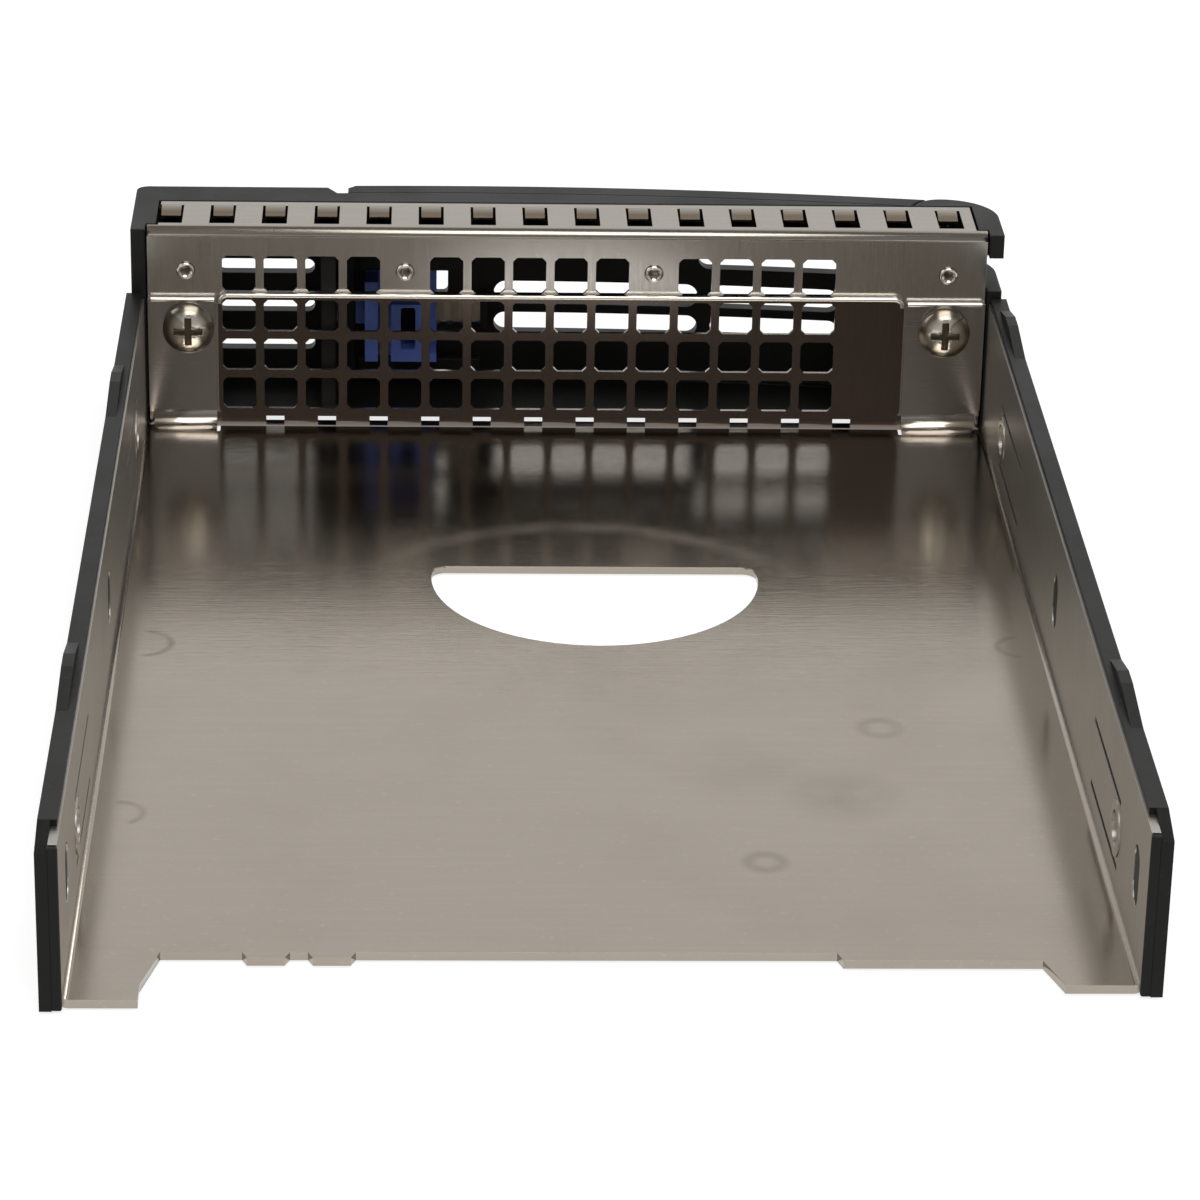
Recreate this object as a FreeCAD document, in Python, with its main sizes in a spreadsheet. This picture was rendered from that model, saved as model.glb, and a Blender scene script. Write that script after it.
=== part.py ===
import FreeCAD, Part
import math
import os
from types import SimpleNamespace

import Sketcher

# Tray that carries one 3.5 inch disk drive, seen from its open rear end.
# X runs across the tray, +Y points at the front bezel and +Z is up.
# Sketches are drawn from the tray's datum corner: Y 0 is the inner face of the
# front ears and Z 0 is the top of the floor. Each body's Placement then moves
# the datum so that the part stands on Z 0 with the middle of its box at X 0, Y 0.

DIMENSIONS = {
    # Steel pan that the drive lies in
    "drive_width": 101.6,
    "side_clearance": 0.2,
    "gauge": 0.9,
    "wall_bend": 0.6,
    "ear_bend": 2.0,
    "wall_height": 16.3,
    "rear_margin": 14.2,
    "left_tongue": 9.5,
    "right_tongue": 6.4,
    "tongue_width": 7.1,
    "tongue_flare": 1.6,
    "tab_depth": 1.1,
    "tab_slope": 0.5,
    "tab_width": 3.6,
    "first_tab": 11.7,
    "second_tab": 18.0,
    "lip_width": 21.3,
    "lip_depth": 1.5,
    "corner_relief": 0.4,
    "floor_gap": 0.3,
    "left_ear_width": 8.6,
    "right_ear_width": 10.0,
    # Half-moon finger cut in the floor
    "moon_radius": 18.5,
    "moon_across": 2.1,
    "moon_back": 45.6,
    "moon_rise": 3.0,
    "moon_corner": 1.6,
    # Drive screws, their sprung strips and the slots that hold the rails
    "screw_front": 19.0,
    "screw_spacing": 101.6,
    "screw_level": 6.35,
    "screw_hole": 1.85,
    "dimple_radius": 2.9,
    "dimple_rise": 0.15,
    "slit_width": 0.7,
    "slit_spread": 7.1,
    "slit_length": 17.6,
    "slit_overrun": 2.0,
    "rail_slot_front": 70.0,
    "rear_slot_inset": 0.6,
    "rail_slot_level": 8.2,
    "rail_slot_width": 3.4,
    "rail_slot_height": 6.2,
    # Plastic side rails
    "rail_wall": 1.2,
    "rail_rise": 0.7,
    "rail_lip": 0.65,
    "rail_overhang": 0.7,
    "rail_nose_run": 4.5,
    "rail_nose_drop": 1.3,
    "bump_height": 1.1,
    "bump_ramp": 5.0,
    "bump_crest": 3.0,
    "bump_tail": 8.0,
    "left_front_bump": 24.0,
    "left_rear_bump": 33.8,
    "right_front_bump": 4.0,
    "right_rear_bump": 30.8,
    "access_radius": 3.8,
    "hook_clearance": 0.12,
    "panel_inset": 0.35,
    # Pressed steel shield
    "shield_gauge": 0.5,
    "shield_bend": 0.6,
    "shield_inset": 0.4,
    "shield_top": 25.0,
    "flange_inset": 1.3,
    "flange_reach": 10.5,
    "panel_top": 16.9,
    "panel_foot": 1.3,
    "panel_gap": 0.25,
    "panel_corner": 1.2,
    "grid_inset": 2.76,
    "grid_steps": 16.68,
    "grid_bar": 1.0,
    "grid_corner": 0.5,
    "row_pitch": 5.0,
    "row_height": 4.0,
    "grid_top_row": 19.2,
    "top_hole_height": 4.6,
    "finger_across": -0.8,
    "finger_margin": 4.25,
    "window_width": 3.0,
    "window_near": 2.7,
    "window_far": 9.3,
    "finger_width": 2.4,
    "finger_length": 2.3,
    "finger_drop": 0.6,
    "finger_gauge": 0.25,
    "foot_window_width": 2.2,
    # Moulded bezel
    "flank_wall": 1.7,
    "bezel_front": 16.0,
    "bezel_wall": 1.8,
    "bezel_skin": 1.1,
    "bezel_corner": 1.5,
    "flank_gap": 0.2,
    "block_width": 24.5,
    "notch_slope": 1.2,
    "flange_clearance": 0.3,
    "finger_room": 1.3,
    "ledge_width": 1.3,
    "foot_room": 2.6,
    "vent_pitch": 5.0,
    "vent_height": 1.9,
    "vent_margin": 9.7,
    "vent_inset": 2.8,
    "vent_base": 5.4,
    "slot_floor": 17.9,
    "boss_radius": 3.2,
    "post_half": 2.2,
    "post_depth": 2.6,
    "corner_radius": 6.5,
    # Swinging handle with its pivot
    "front_reach": 17.3,
    "bow_radius": 400.0,
    "bow_across": -11.5,
    "handle_end_gap": 1.3,
    "end_slope": 0.9,
    "handle_depth": 2.6,
    "handle_skin": 1.8,
    "handle_rim": 1.3,
    "handle_gap": 0.4,
    "handle_drop": 0.1,
    "pivot_y": 9.9,
    "pin_radius": 1.5,
    "pin_fit": 0.05,
    "knuckle": 3.5,
    "hub_thickness": 2.1,
    "joint_gap": 0.3,
    "arm_reach": 15.0,
    "slot_inset": 18.0,
    "slot_share": 0.61,
    "slot_margin": 8.1,
    "slot_bar": 1.6,
    "lower_slot": 6.4,
    "lower_slot_height": 2.7,
    "upper_slot": 10.2,
    "upper_slot_height": 3.0,
    "high_slot": 15.3,
    "high_slot_height": 2.8,
    "cam_gauge": 1.5,
    "cam_nose": 6.7,
    # Blue latch in the handle's free end
    "latch_inset": 2.1,
    "nose_gap": 0.8,
    "latch_width": 8.8,
    "latch_foot": 3.2,
    "latch_top": 16.4,
    "latch_plate": 1.5,
    "latch_gap": 0.3,
    "latch_rib": 4.0,
    "latch_travel": 3.0,
    "nose_level": 9.6,
    "nose_half": 1.5,
    "pad_width": 4.6,
    "pad_height": 4.0,
    "pad_level": 13.7,
    "pad_recess": 0.25,
    "guide_wall": 1.0,
    "guide_lip": 0.8,
    "spring_half": 1.6,
    "spring_leaf": 0.4,
    "spring_length": 5.4,
    # Fasteners
    "screw_inset": 5.3,
    "screw_height": 12.7,
    "screw_head": 3.07,
    "head_rim": 0.9,
    "head_rise": 2.1,
    "screw_shank": 1.3,
    "screw_length": 6.5,
    "screw_room": 1.7,
    "recess_depth": 1.2,
    "recess_arm": 1.75,
    "recess_half": 0.42,
    "rivet_inset": 4.6,
    "rivet_level": 19.6,
    "rivet_head": 1.15,
    "rivet_rise": 0.4,
    "rivet_dish": 0.45,
    "rivet_shank": 0.75,
    "rivet_grip": 0.6,
}


class Size:
    """A length in millimetres together with the sheet expression that gives it."""

    def __init__(self, value, text):
        self.value = value
        self.text = text

    def __add__(self, other):
        other = as_size(other)
        return Size(self.value + other.value, f"({self.text} + {other.text})")

    def __sub__(self, other):
        other = as_size(other)
        return Size(self.value - other.value, f"({self.text} - {other.text})")

    def __mul__(self, other):
        other = as_size(other)
        return Size(self.value * other.value, f"({self.text} * {other.text})")

    def __truediv__(self, other):
        other = as_size(other)
        return Size(self.value / other.value, f"({self.text} / {other.text})")

    def __neg__(self):
        return Size(-self.value, f"(0 - {self.text})")


def as_size(number):
    """A plain number as a Size, and a Size as it is."""
    if isinstance(number, Size):
        return number
    return Size(float(number), f"{float(number):.6f}")


def root(size):
    """Square root of a Size."""
    return Size(math.sqrt(size.value), f"sqrt({size.text})")


doc = FreeCAD.newDocument("drive_tray")
sheet = doc.addObject("Spreadsheet::Sheet", "sizes")
size = SimpleNamespace()
for row, (alias, number) in enumerate(DIMENSIONS.items(), start=1):
    sheet.set(f"A{row}", alias)
    sheet.set(f"B{row}", str(number))
    sheet.setAlias(f"B{row}", alias)
    setattr(size, alias, Size(number, f"sizes.{alias}"))
doc.recompute()

# Places that several pieces share
ZERO = as_size(0)
inner = size.drive_width / 2 + size.side_clearance
outer = inner + size.gauge
rail_outer = outer + size.rail_wall
underside = -size.gauge
pan_length = size.screw_front + size.screw_spacing + size.rear_margin
tongue_edge = inner - size.tongue_width
left_ear = inner - size.left_ear_width
right_ear = inner - size.right_ear_width
shield_half = inner - size.shield_inset
flange_half = shield_half - size.flange_inset
bezel_half = shield_half + size.flank_gap + size.flank_wall
block_edge = bezel_half - size.block_width
handle_left = block_edge - size.handle_end_gap
latch_left = size.latch_inset - handle_left
screw_across = inner - size.screw_inset
grid_pitch = (left_ear + right_ear) / size.grid_steps
finger_pitch = (flange_half * 2 - size.finger_margin) / 15
first_window = size.finger_across - finger_pitch * 7.5
shield_fold = size.shield_bend + size.shield_gauge
left_end = pan_length + size.left_tongue
right_end = pan_length + size.right_tongue
rail_top = size.wall_height + size.rail_rise
rear_reach = left_end + size.rail_overhang
datum_y = (rear_reach - size.front_reach) / 2
strip_near = size.gauge
strip_far = strip_near + size.shield_gauge
flange_under = size.shield_top - size.shield_gauge
foot_flange = underside + size.shield_gauge
pivot_x = bezel_half - size.corner_radius
bezel_nose = size.pivot_y + size.knuckle
roof = flange_under - size.finger_room
ceiling = roof - size.bezel_skin
sill = foot_flange + size.bezel_skin
hub_floor = size.slot_floor + size.joint_gap
hub_top = hub_floor + size.hub_thickness
handle_right = pivot_x - size.knuckle - size.handle_gap
handle_top = size.shield_top - size.handle_drop
handle_foot = underside + size.joint_gap
knuckle_left = pivot_x - size.knuckle
latch_right = latch_left + size.latch_width
slot_left = size.slot_inset - handle_left
slot_right = handle_right - size.slot_margin
slot_divide = slot_left + (slot_right - slot_left) * size.slot_share
drive_holes = (-size.screw_front, -(size.screw_front + size.screw_spacing))
rail_slots = (-size.rail_slot_front, size.rear_slot_inset - pan_length)


def bow(x, depth):
    """Y of the handle's bowed front, or of a face a given depth behind it, at x."""
    radius = size.bow_radius - depth
    run = x - size.bow_across
    return size.front_reach - size.bow_radius + root(radius * radius - run * run)


# Outlines are lists of steps. A step is a vertex that is reached by a line, or
# by an arc about a centre that turns left (+1) or right (-1).
def to(x, y):
    """Step to a vertex along a straight line."""
    return as_size(x), as_size(y), None, 0


def arc(x, y, centre, turn):
    """Step to a vertex along an arc about a centre."""
    return as_size(x), as_size(y), (as_size(centre[0]), as_size(centre[1])), turn


def rectangle(x0, x1, y0, y1):
    """Plain rectangle."""
    return [to(x0, y0), to(x1, y0), to(x1, y1), to(x0, y1)]


def rounded(x0, x1, y0, y1, r):
    """Rectangle with its four corners rounded."""
    x0, x1, y0, y1, r = map(as_size, (x0, x1, y0, y1, r))
    return [
        arc(x0 + r, y0, (x0 + r, y0 + r), 1),
        to(x1 - r, y0),
        arc(x1, y0 + r, (x1 - r, y0 + r), 1),
        to(x1, y1 - r),
        arc(x1 - r, y1, (x1 - r, y1 - r), 1),
        to(x0 + r, y1),
        arc(x0, y1 - r, (x0 + r, y1 - r), 1),
        to(x0, y0 + r),
    ]


def clipped(x0, x1, y0, y1, c):
    """Rectangle with its four corners cut off."""
    return [
        to(x0 + c, y0), to(x1 - c, y0), to(x1, y0 + c), to(x1, y1 - c),
        to(x1 - c, y1), to(x0 + c, y1), to(x0, y1 - c), to(x0, y0 + c),
    ]


def stadium(x0, x1, y0, y1):
    """Slot that lies along the first axis, with round ends."""
    x0, x1, y0, y1 = map(as_size, (x0, x1, y0, y1))
    r = (y1 - y0) / 2
    middle = (y0 + y1) / 2
    return [
        arc(x0 + r, y0, (x0 + r, middle), 1),
        to(x1 - r, y0),
        arc(x1 - r, y1, (x1 - r, middle), 1),
        to(x0 + r, y1),
    ]


def upright_stadium(x, y, width, height):
    """Slot that stands on the second axis, about a centre, with round ends."""
    r = width / 2
    rise = height / 2 - r
    return [
        arc(x + r, y - rise, (x, y - rise), 1),
        to(x + r, y + rise),
        arc(x - r, y + rise, (x, y + rise), 1),
        to(x - r, y - rise),
    ]


def circle(x, y, radius):
    """Full circle."""
    return as_size(x), as_size(y), as_size(radius)


class Piece:
    """One sub-part: a body whose features are sketched on its own origin planes."""

    # Which way a pad has to be reversed to run along the positive axis
    PLANES = {"XY": ("XY_Plane", 1), "XZ": ("XZ_Plane", -1), "YZ": ("YZ_Plane", 1)}

    def __init__(self, label, several=False):
        self.body = doc.addObject("PartDesign::Body", label)
        self.body.Label = label
        self.body.AllowCompound = several
        self.body.setExpression("Placement.Base.y", datum_y.text)
        self.body.setExpression("Placement.Base.z", size.gauge.text)

    def origin(self, role):
        """Origin plane or axis of the body, found by its role."""
        for feature in self.body.Origin.OriginFeatures:
            if feature.Role == role:
                return feature
        raise LookupError(role)

    def sketch(self, name, plane, level, outlines, shift=(ZERO, ZERO)):
        """Sketch on an origin plane, moved along the plane's axis to a level."""
        role, way = self.PLANES[plane]
        drawing = self.body.newObject("Sketcher::SketchObject", name)
        drawing.AttachmentSupport = [(self.origin(role), "")]
        drawing.MapMode = "FlatFace"
        level = level if way > 0 else -level
        for letter, amount in zip("xyz", (*shift, level)):
            drawing.setExpression(f"AttachmentOffset.Base.{letter}", amount.text)
        for outline in outlines:
            if isinstance(outline, tuple):
                draw_circle(drawing, *outline)
            else:
                draw_outline(drawing, outline)
        return drawing

    def pad(self, name, plane, start, end, *outlines):
        """Add material between two levels along the plane's axis."""
        return self.extrude("Pad", name, plane, start, end, outlines)

    def pocket(self, name, plane, start, end, *outlines):
        """Take material away between two levels along the plane's axis."""
        return self.extrude("Pocket", name, plane, start, end, outlines)

    def extrude(self, kind, name, plane, start, end, outlines):
        """Pad or pocket that runs from one level to a higher one."""
        start, end = as_size(start), as_size(end)
        drawing = self.sketch(f"{name}_sketch", plane, start, outlines)
        feature = self.body.newObject(f"PartDesign::{kind}", name)
        feature.Profile = drawing
        feature.setExpression("Length", (end - start).text)
        along = self.PLANES[plane][1] > 0
        feature.Reversed = not along if kind == "Pad" else along
        return self.close(feature)

    def revolve(self, name, plane, level, shift, outline):
        """Turn a half section about the sketch's own upright axis."""
        drawing = self.sketch(f"{name}_sketch", plane, level, [outline], shift)
        feature = self.body.newObject("PartDesign::Revolution", name)
        feature.Profile = drawing
        feature.ReferenceAxis = (drawing, ["V_Axis"])
        feature.Angle = 360
        return self.close(feature)

    def repeat(self, name, feature, count, pitch, axis="H_Axis"):
        """Repeat a feature along an axis of its sketch."""
        pattern = self.body.newObject("PartDesign::LinearPattern", name)
        pattern.Originals = [feature]
        pattern.Direction = (feature.Profile[0], [axis])
        pattern.Mode = "Spacing"
        pattern.setExpression("Offset", pitch.text)
        pattern.Occurrences = count
        return self.close(pattern)

    def mirror(self, name, features):
        """Mirror features across the tray's middle plane."""
        pattern = self.body.newObject("PartDesign::Mirrored", name)
        pattern.Originals = features
        pattern.MirrorPlane = (self.origin("YZ_Plane"), [""])
        return self.close(pattern)

    def close(self, feature):
        """Make a feature the body's newest one."""
        self.body.Tip = feature
        feature.Refine = feature.TypeId.endswith(("Pad", "Revolution"))
        return feature


def bind(drawing, kind, where, amount):
    """Constraint whose value follows the sheet."""
    index = drawing.addConstraint(Sketcher.Constraint(kind, *where, amount.value))
    drawing.setExpression(f"Constraints[{index}]", amount.text)


def draw_circle(drawing, x, y, radius):
    """Circle held by its centre and radius."""
    centre = FreeCAD.Vector(x.value, y.value, 0)
    shape = Part.Circle(centre, FreeCAD.Vector(0, 0, 1), radius.value)
    edge = drawing.addGeometry(shape, False)
    bind(drawing, "DistanceX", (-1, 1, edge, 3), x)
    bind(drawing, "DistanceY", (-1, 1, edge, 3), y)
    bind(drawing, "Radius", (edge,), radius)


def draw_outline(drawing, steps):
    """Closed outline whose vertices and arc centres are all held by the sheet."""
    first = drawing.GeometryCount
    edges = []
    for number, (x, y, centre, turn) in enumerate(steps):
        before = steps[number - 1]
        start = FreeCAD.Vector(before[0].value, before[1].value, 0)
        end = FreeCAD.Vector(x.value, y.value, 0)
        if centre is None:
            edges.append((Part.LineSegment(start, end), 1, 2))
            continue
        middle = FreeCAD.Vector(centre[0].value, centre[1].value, 0)
        ends = (start, end) if turn > 0 else (end, start)
        angles = [math.atan2(p.y - middle.y, p.x - middle.x) for p in ends]
        if angles[1] <= angles[0]:
            angles[1] += 2 * math.pi
        whole = Part.Circle(middle, FreeCAD.Vector(0, 0, 1), (start - middle).Length)
        edge = Part.ArcOfCircle(whole, *angles)
        edges.append((edge, 1, 2) if turn > 0 else (edge, 2, 1))
    drawing.addGeometry([edge for edge, _, _ in edges], False)
    joints = []
    for number, (_, _, leave) in enumerate(edges):
        following = (number + 1) % len(edges)
        enter = edges[following][1]
        joints.append(Sketcher.Constraint("Coincident", first + number, leave, first + following, enter))
    drawing.addConstraint(joints)
    for number, (x, y, centre, _) in enumerate(steps):
        leave = edges[number][2]
        bind(drawing, "DistanceX", (-1, 1, first + number, leave), x)
        bind(drawing, "DistanceY", (-1, 1, first + number, leave), y)
        if centre is None:
            continue
        before = steps[number - 1]
        flat = abs(x.value - before[0].value) >= abs(y.value - before[1].value)
        kind, amount = ("DistanceY", centre[1]) if flat else ("DistanceX", centre[0])
        bind(drawing, kind, (-1, 1, first + number, 3), amount)


def pan_section():
    """Folded channel, floor and both walls, seen along the tray."""
    r = size.wall_bend
    full = r + size.gauge
    foot = underside + full
    return [
        to(-outer, size.wall_height),
        to(-outer, foot),
        arc(full - outer, underside, (full - outer, foot), 1),
        to(outer - full, underside),
        arc(outer, foot, (outer - full, foot), 1),
        to(outer, size.wall_height),
        to(inner, size.wall_height),
        to(inner, r),
        arc(inner - r, ZERO, (inner - r, r), -1),
        to(r - inner, ZERO),
        arc(-inner, r, (r - inner, r), -1),
        to(-inner, size.wall_height),
    ]


def ear_section():
    """Ear that is folded up from the floor's front edge, seen from its end."""
    e = size.ear_bend
    return [
        arc(-e, ZERO, (-e, e), -1),
        to(-e, underside),
        arc(size.gauge, e, (-e, e), 1),
        to(size.gauge, size.wall_height),
        to(ZERO, size.wall_height),
        to(ZERO, e),
    ]


def half_moon():
    """Circle cut off by a chord, with a small round in each corner."""
    r, c = size.moon_radius, size.moon_corner
    x, y = size.moon_across, -size.moon_back
    chord = y + size.moon_rise
    drop = size.moon_rise - c
    run = root((r - c) * (r - c) - drop * drop)
    reach = r / (r - c)
    tip_x, tip_y = run * reach, y + drop * reach
    return [
        arc(x - tip_x, tip_y, (x - run, chord - c), 1),
        arc(x + tip_x, tip_y, (x, y), 1),
        arc(x + run, chord, (x + run, chord - c), 1),
        to(x - run, chord),
    ]


def rear_edge():
    """Everything behind the floor's rear edge, between the two rear tongues."""
    edge = -pan_length
    back = edge - size.left_tongue - 1
    tab_back = edge - size.tab_depth
    left_foot = edge - size.right_tongue
    lip_start = tongue_edge - size.lip_width
    steps = [
        to(-tongue_edge, back),
        to(tongue_edge, back),
        to(tongue_edge, left_foot),
        to(tongue_edge - size.tongue_flare, edge - size.lip_depth),
        to(lip_start + size.tab_slope, edge - size.lip_depth),
        to(lip_start, edge),
    ]
    for middle in (size.second_tab - tongue_edge, size.first_tab - tongue_edge):
        half = size.tab_width / 2
        steps += [
            to(middle + half + size.tab_slope, edge),
            to(middle + half, tab_back),
            to(middle - half, tab_back),
            to(middle - half - size.tab_slope, edge),
        ]
    steps += [
        to(size.tongue_flare - tongue_edge, edge),
        to(-tongue_edge, left_foot),
    ]
    return steps


def slit(y, rear, level):
    """Long slit beside a drive screw, running towards the middle of the wall."""
    way = 1 if rear else -1
    root_end = y + size.slit_length * way
    free_end = y - size.slit_overrun * way
    near, far = (free_end, root_end) if rear else (root_end, free_end)
    return rectangle(near, far, level - size.slit_width / 2, level + size.slit_width / 2)


def make_tray_pan():
    """One folded sheet: floor, side walls, front ears and rear tongues."""
    pan = Piece("tray_pan")
    pan.pad("channel", "XZ", -left_end, ZERO, pan_section())
    flat_half = inner - size.wall_bend - size.corner_relief
    relief = size.corner_relief
    front = rectangle(-flat_half, flat_half, -size.floor_gap, ZERO)
    pan.pocket("front_edge", "XY", underside, ZERO, front)
    reliefs = [
        rectangle(-flat_half, relief - left_ear, -size.ear_bend, ZERO),
        rectangle(right_ear - relief, flat_half, -size.ear_bend, ZERO),
    ]
    pan.pocket("ear_reliefs", "XY", underside, ZERO, *reliefs)
    pan.pad("left_ear", "YZ", -flat_half, -left_ear, ear_section())
    pan.pad("right_ear", "YZ", right_ear, flat_half, ear_section())
    wing_foot = size.ear_bend + relief
    wing_edge = inner - relief
    wings = [
        rectangle(-wing_edge, -flat_half, wing_foot, size.wall_height),
        rectangle(flat_half, wing_edge, wing_foot, size.wall_height),
    ]
    pan.pad("ear_wings", "XZ", ZERO, size.gauge, *wings)
    pan.pocket("moon_cut", "XY", underside, ZERO, half_moon())
    pan.pocket("rear_cut", "XY", underside, ZERO, rear_edge())
    stub = rectangle(tongue_edge - 1, outer + 1, -left_end - 1, -right_end)
    pan.pocket("right_stub", "XY", underside, size.wall_height, stub)
    for side in (-1, 1):
        name = "left" if side < 0 else "right"
        face = inner * side
        start, end = (face, face + size.dimple_rise) if side < 0 else (face - size.dimple_rise, face)
        dimples = [circle(y, size.screw_level, size.dimple_radius) for y in drive_holes]
        pan.pad(f"{name}_dimples", "YZ", start, end, *dimples)
    holes = [circle(y, size.screw_level, size.screw_hole) for y in drive_holes]
    pan.pocket("drive_holes", "YZ", -outer, outer, *holes)
    slits = []
    for number, y in enumerate(drive_holes):
        for half in (-0.5, 0.5):
            slits.append(slit(y, number == 1, size.screw_level + size.slit_spread * half))
    pan.pocket("spring_slits", "YZ", -outer, outer, *slits)
    slots = [
        upright_stadium(y, size.rail_slot_level, size.rail_slot_width, size.rail_slot_height)
        for y in rail_slots
    ]
    pan.pocket("rail_slots", "YZ", -outer, outer, *slots)
    screws = [circle(screw_across * side, size.screw_height, size.screw_room) for side in (-1, 1)]
    pan.pocket("ear_holes", "XZ", ZERO, size.gauge, *screws)
    return pan


def rail_outline(rear, bumps):
    """Rail seen from the side, with guide bumps on its top edge and a sloped nose."""
    steps = [to(-rear, underside), to(ZERO, underside), to(ZERO, rail_top)]
    for foot in bumps:
        crest = foot - size.bump_ramp
        fall = crest - size.bump_crest
        steps += [
            to(foot, rail_top),
            to(crest, rail_top + size.bump_height),
            to(fall, rail_top + size.bump_height),
            to(fall - size.bump_tail, rail_top),
        ]
    steps += [to(size.rail_nose_run - rear, rail_top), to(-rear, rail_top - size.rail_nose_drop)]
    return steps


def make_rail(label, side, wall_end, bumps):
    """Moulded rail that clips to the outside of one wall and hoods its top edge."""
    rail = Piece(label)

    def across(near, far):
        return (-far, -near) if side < 0 else (near, far)

    rear = wall_end + size.rail_overhang
    rail.pad("web", "YZ", *across(outer, rail_outer), rail_outline(rear, bumps))
    hood = [
        to(size.rail_nose_run - rear, size.wall_height),
        to(ZERO, size.wall_height),
        to(ZERO, rail_top),
        to(size.rail_nose_run - rear, rail_top),
    ]
    rail.pad("hood", "YZ", *across(outer - size.rail_lip, outer), hood)
    plugs = [
        upright_stadium(
            y,
            size.rail_slot_level,
            size.rail_slot_width - size.hook_clearance * 2,
            size.rail_slot_height - size.hook_clearance * 2,
        )
        for y in rail_slots
    ]
    rail.pad("clips", "YZ", *across(inner + size.hook_clearance, outer), *plugs)
    access = [circle(y, size.screw_level, size.access_radius) for y in drive_holes]
    rail.pocket("driver_holes", "YZ", *across(outer, rail_outer), *access)
    middle = size.screw_front + size.access_radius * 2
    far = size.screw_front + size.screw_spacing - size.access_radius * 2
    inset = rectangle(-far, -middle, size.screw_level - size.access_radius,
                      size.screw_level + size.access_radius)
    face = rail_outer - size.panel_inset
    rail.pocket("side_panel", "YZ", *across(face, rail_outer), inset)
    return rail


def fold_section(edge, way):
    """Quarter fold and flange at the shield's head, way 1, or foot, way -1."""
    t = size.shield_gauge
    bend = strip_near + shield_fold
    start = edge - shield_fold * way
    return [
        to(strip_near, start),
        arc(bend, edge, (bend, start), -way),
        to(size.flange_reach, edge),
        to(size.flange_reach, edge - t * way),
        to(bend, edge - t * way),
        arc(strip_far, start, (bend, start), way),
    ]


def finger_section():
    """Spring finger that slopes down from the far edge of its window towards the near one."""
    far, top, t = size.window_far, size.shield_top, size.finger_gauge
    run, drop = size.finger_length, size.finger_drop
    line = [(far, top), (far - run * 0.2, top - drop * 0.12), (far - run, top - drop)]
    upper = [to(x, y) for x, y in line]
    lower = [to(x, y - t) for x, y in reversed(line)]
    return [to(far + t, top - t), to(far + t, top), *upper, *lower]


def make_flange(label, edge, way):
    """Folded edge of the shield, with its row of finger windows."""
    flange = Piece(label)
    t = size.shield_gauge
    low = edge - t if way > 0 else edge
    flange.pad("fold", "YZ", -shield_half, shield_half, fold_section(edge, way))
    ends = [
        rectangle(-shield_half, -flange_half, strip_near + shield_fold, size.flange_reach),
        rectangle(flange_half, shield_half, strip_near + shield_fold, size.flange_reach),
    ]
    flange.pocket("ends", "XY", low, low + t, *ends)
    half = size.window_width / 2
    window = rectangle(first_window - half, first_window + half, size.window_near, size.window_far)
    cut = flange.pocket("window", "XY", low, low + t, window)
    flange.repeat("windows", cut, 16, finger_pitch)
    return flange


def make_top_flange():
    """Shield's upper flange, with a spring finger in every window."""
    flange = make_flange("top_flange", size.shield_top, 1)
    half = size.finger_width / 2
    finger = flange.pad("finger", "YZ", first_window - half, first_window + half, finger_section())
    flange.repeat("fingers", finger, 16, finger_pitch, axis="N_Axis")
    return flange


def make_foot_flange():
    """Shield's lower flange, with openings through its fold."""
    flange = make_flange("foot_flange", underside, -1)
    cut = flange.pocket("fold_window", "XZ", strip_near, strip_near + shield_fold, fold_window())
    flange.repeat("fold_windows", cut, 12, finger_pitch)
    return flange


def fold_window():
    """First of the openings at the shield's foot, under its third finger window."""
    middle = first_window + finger_pitch * 2
    half = size.foot_window_width / 2
    return rectangle(middle - half, middle + half, foot_flange, size.panel_foot)


def make_emi_shield():
    """Upright plate of the pressed shield, with its raised panel and square grid."""
    shield = Piece("emi_shield")
    t = size.shield_gauge
    plate = rectangle(-shield_half, shield_half, underside + shield_fold, size.shield_top - shield_fold)
    shield.pad("plate", "XZ", strip_near, strip_far, plate)
    left = size.panel_gap - left_ear
    right = right_ear - size.panel_gap
    corner = size.panel_corner
    frame = rounded(left, right, size.panel_foot, size.panel_top, corner)
    hollow = rounded(left + t, right - t, size.panel_foot + t, size.panel_top - t, corner - t)
    shield.pocket("panel_opening", "XZ", strip_near, strip_far, hollow)
    shield.pad("panel_rim", "XZ", t, strip_far, frame, hollow)
    shield.pad("panel_face", "XZ", ZERO, t, frame)

    def hole(column, row, height):
        x = grid_column(column)
        z = size.grid_top_row - size.row_pitch * row
        half = (grid_pitch - size.grid_bar) / 2
        return clipped(x - half, x + half, z - height / 2, z + height / 2, size.grid_corner)

    cut = shield.pocket("fold_window", "XZ", strip_near, strip_far, fold_window())
    shield.repeat("fold_windows", cut, 12, finger_pitch)
    screws = [circle(screw_across * side, size.screw_height, size.screw_room) for side in (-1, 1)]
    rivets = [circle(x, size.rivet_level, size.rivet_shank) for x in rivet_places()]
    shield.pocket("fixing_holes", "XZ", strip_near, strip_far, *screws, *rivets)
    for row in (1, 2, 3):
        start = shield.pocket(f"row_{row}_hole", "XZ", ZERO, t, hole(1, row, size.row_height))
        shield.repeat(f"row_{row}", start, 15, grid_pitch)
    for first, count in ((1, 4), (6, 5), (12, 4)):
        opening = hole(first, 0, size.top_hole_height)
        start = shield.pocket(f"top_hole_{first}", "XZ", strip_near, strip_far, opening)
        shield.repeat(f"top_row_{first}", start, count, grid_pitch)
    return shield


def rivet_places():
    """X of the four rivets: one at each end and two that take a grid hole's place."""
    end = shield_half - size.rivet_inset
    return [-end, grid_column(5), grid_column(11), end]


def grid_column(number):
    """X of the middle of a grid column, counted from the left."""
    return size.grid_inset - left_ear + grid_pitch * (number - 1)


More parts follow.
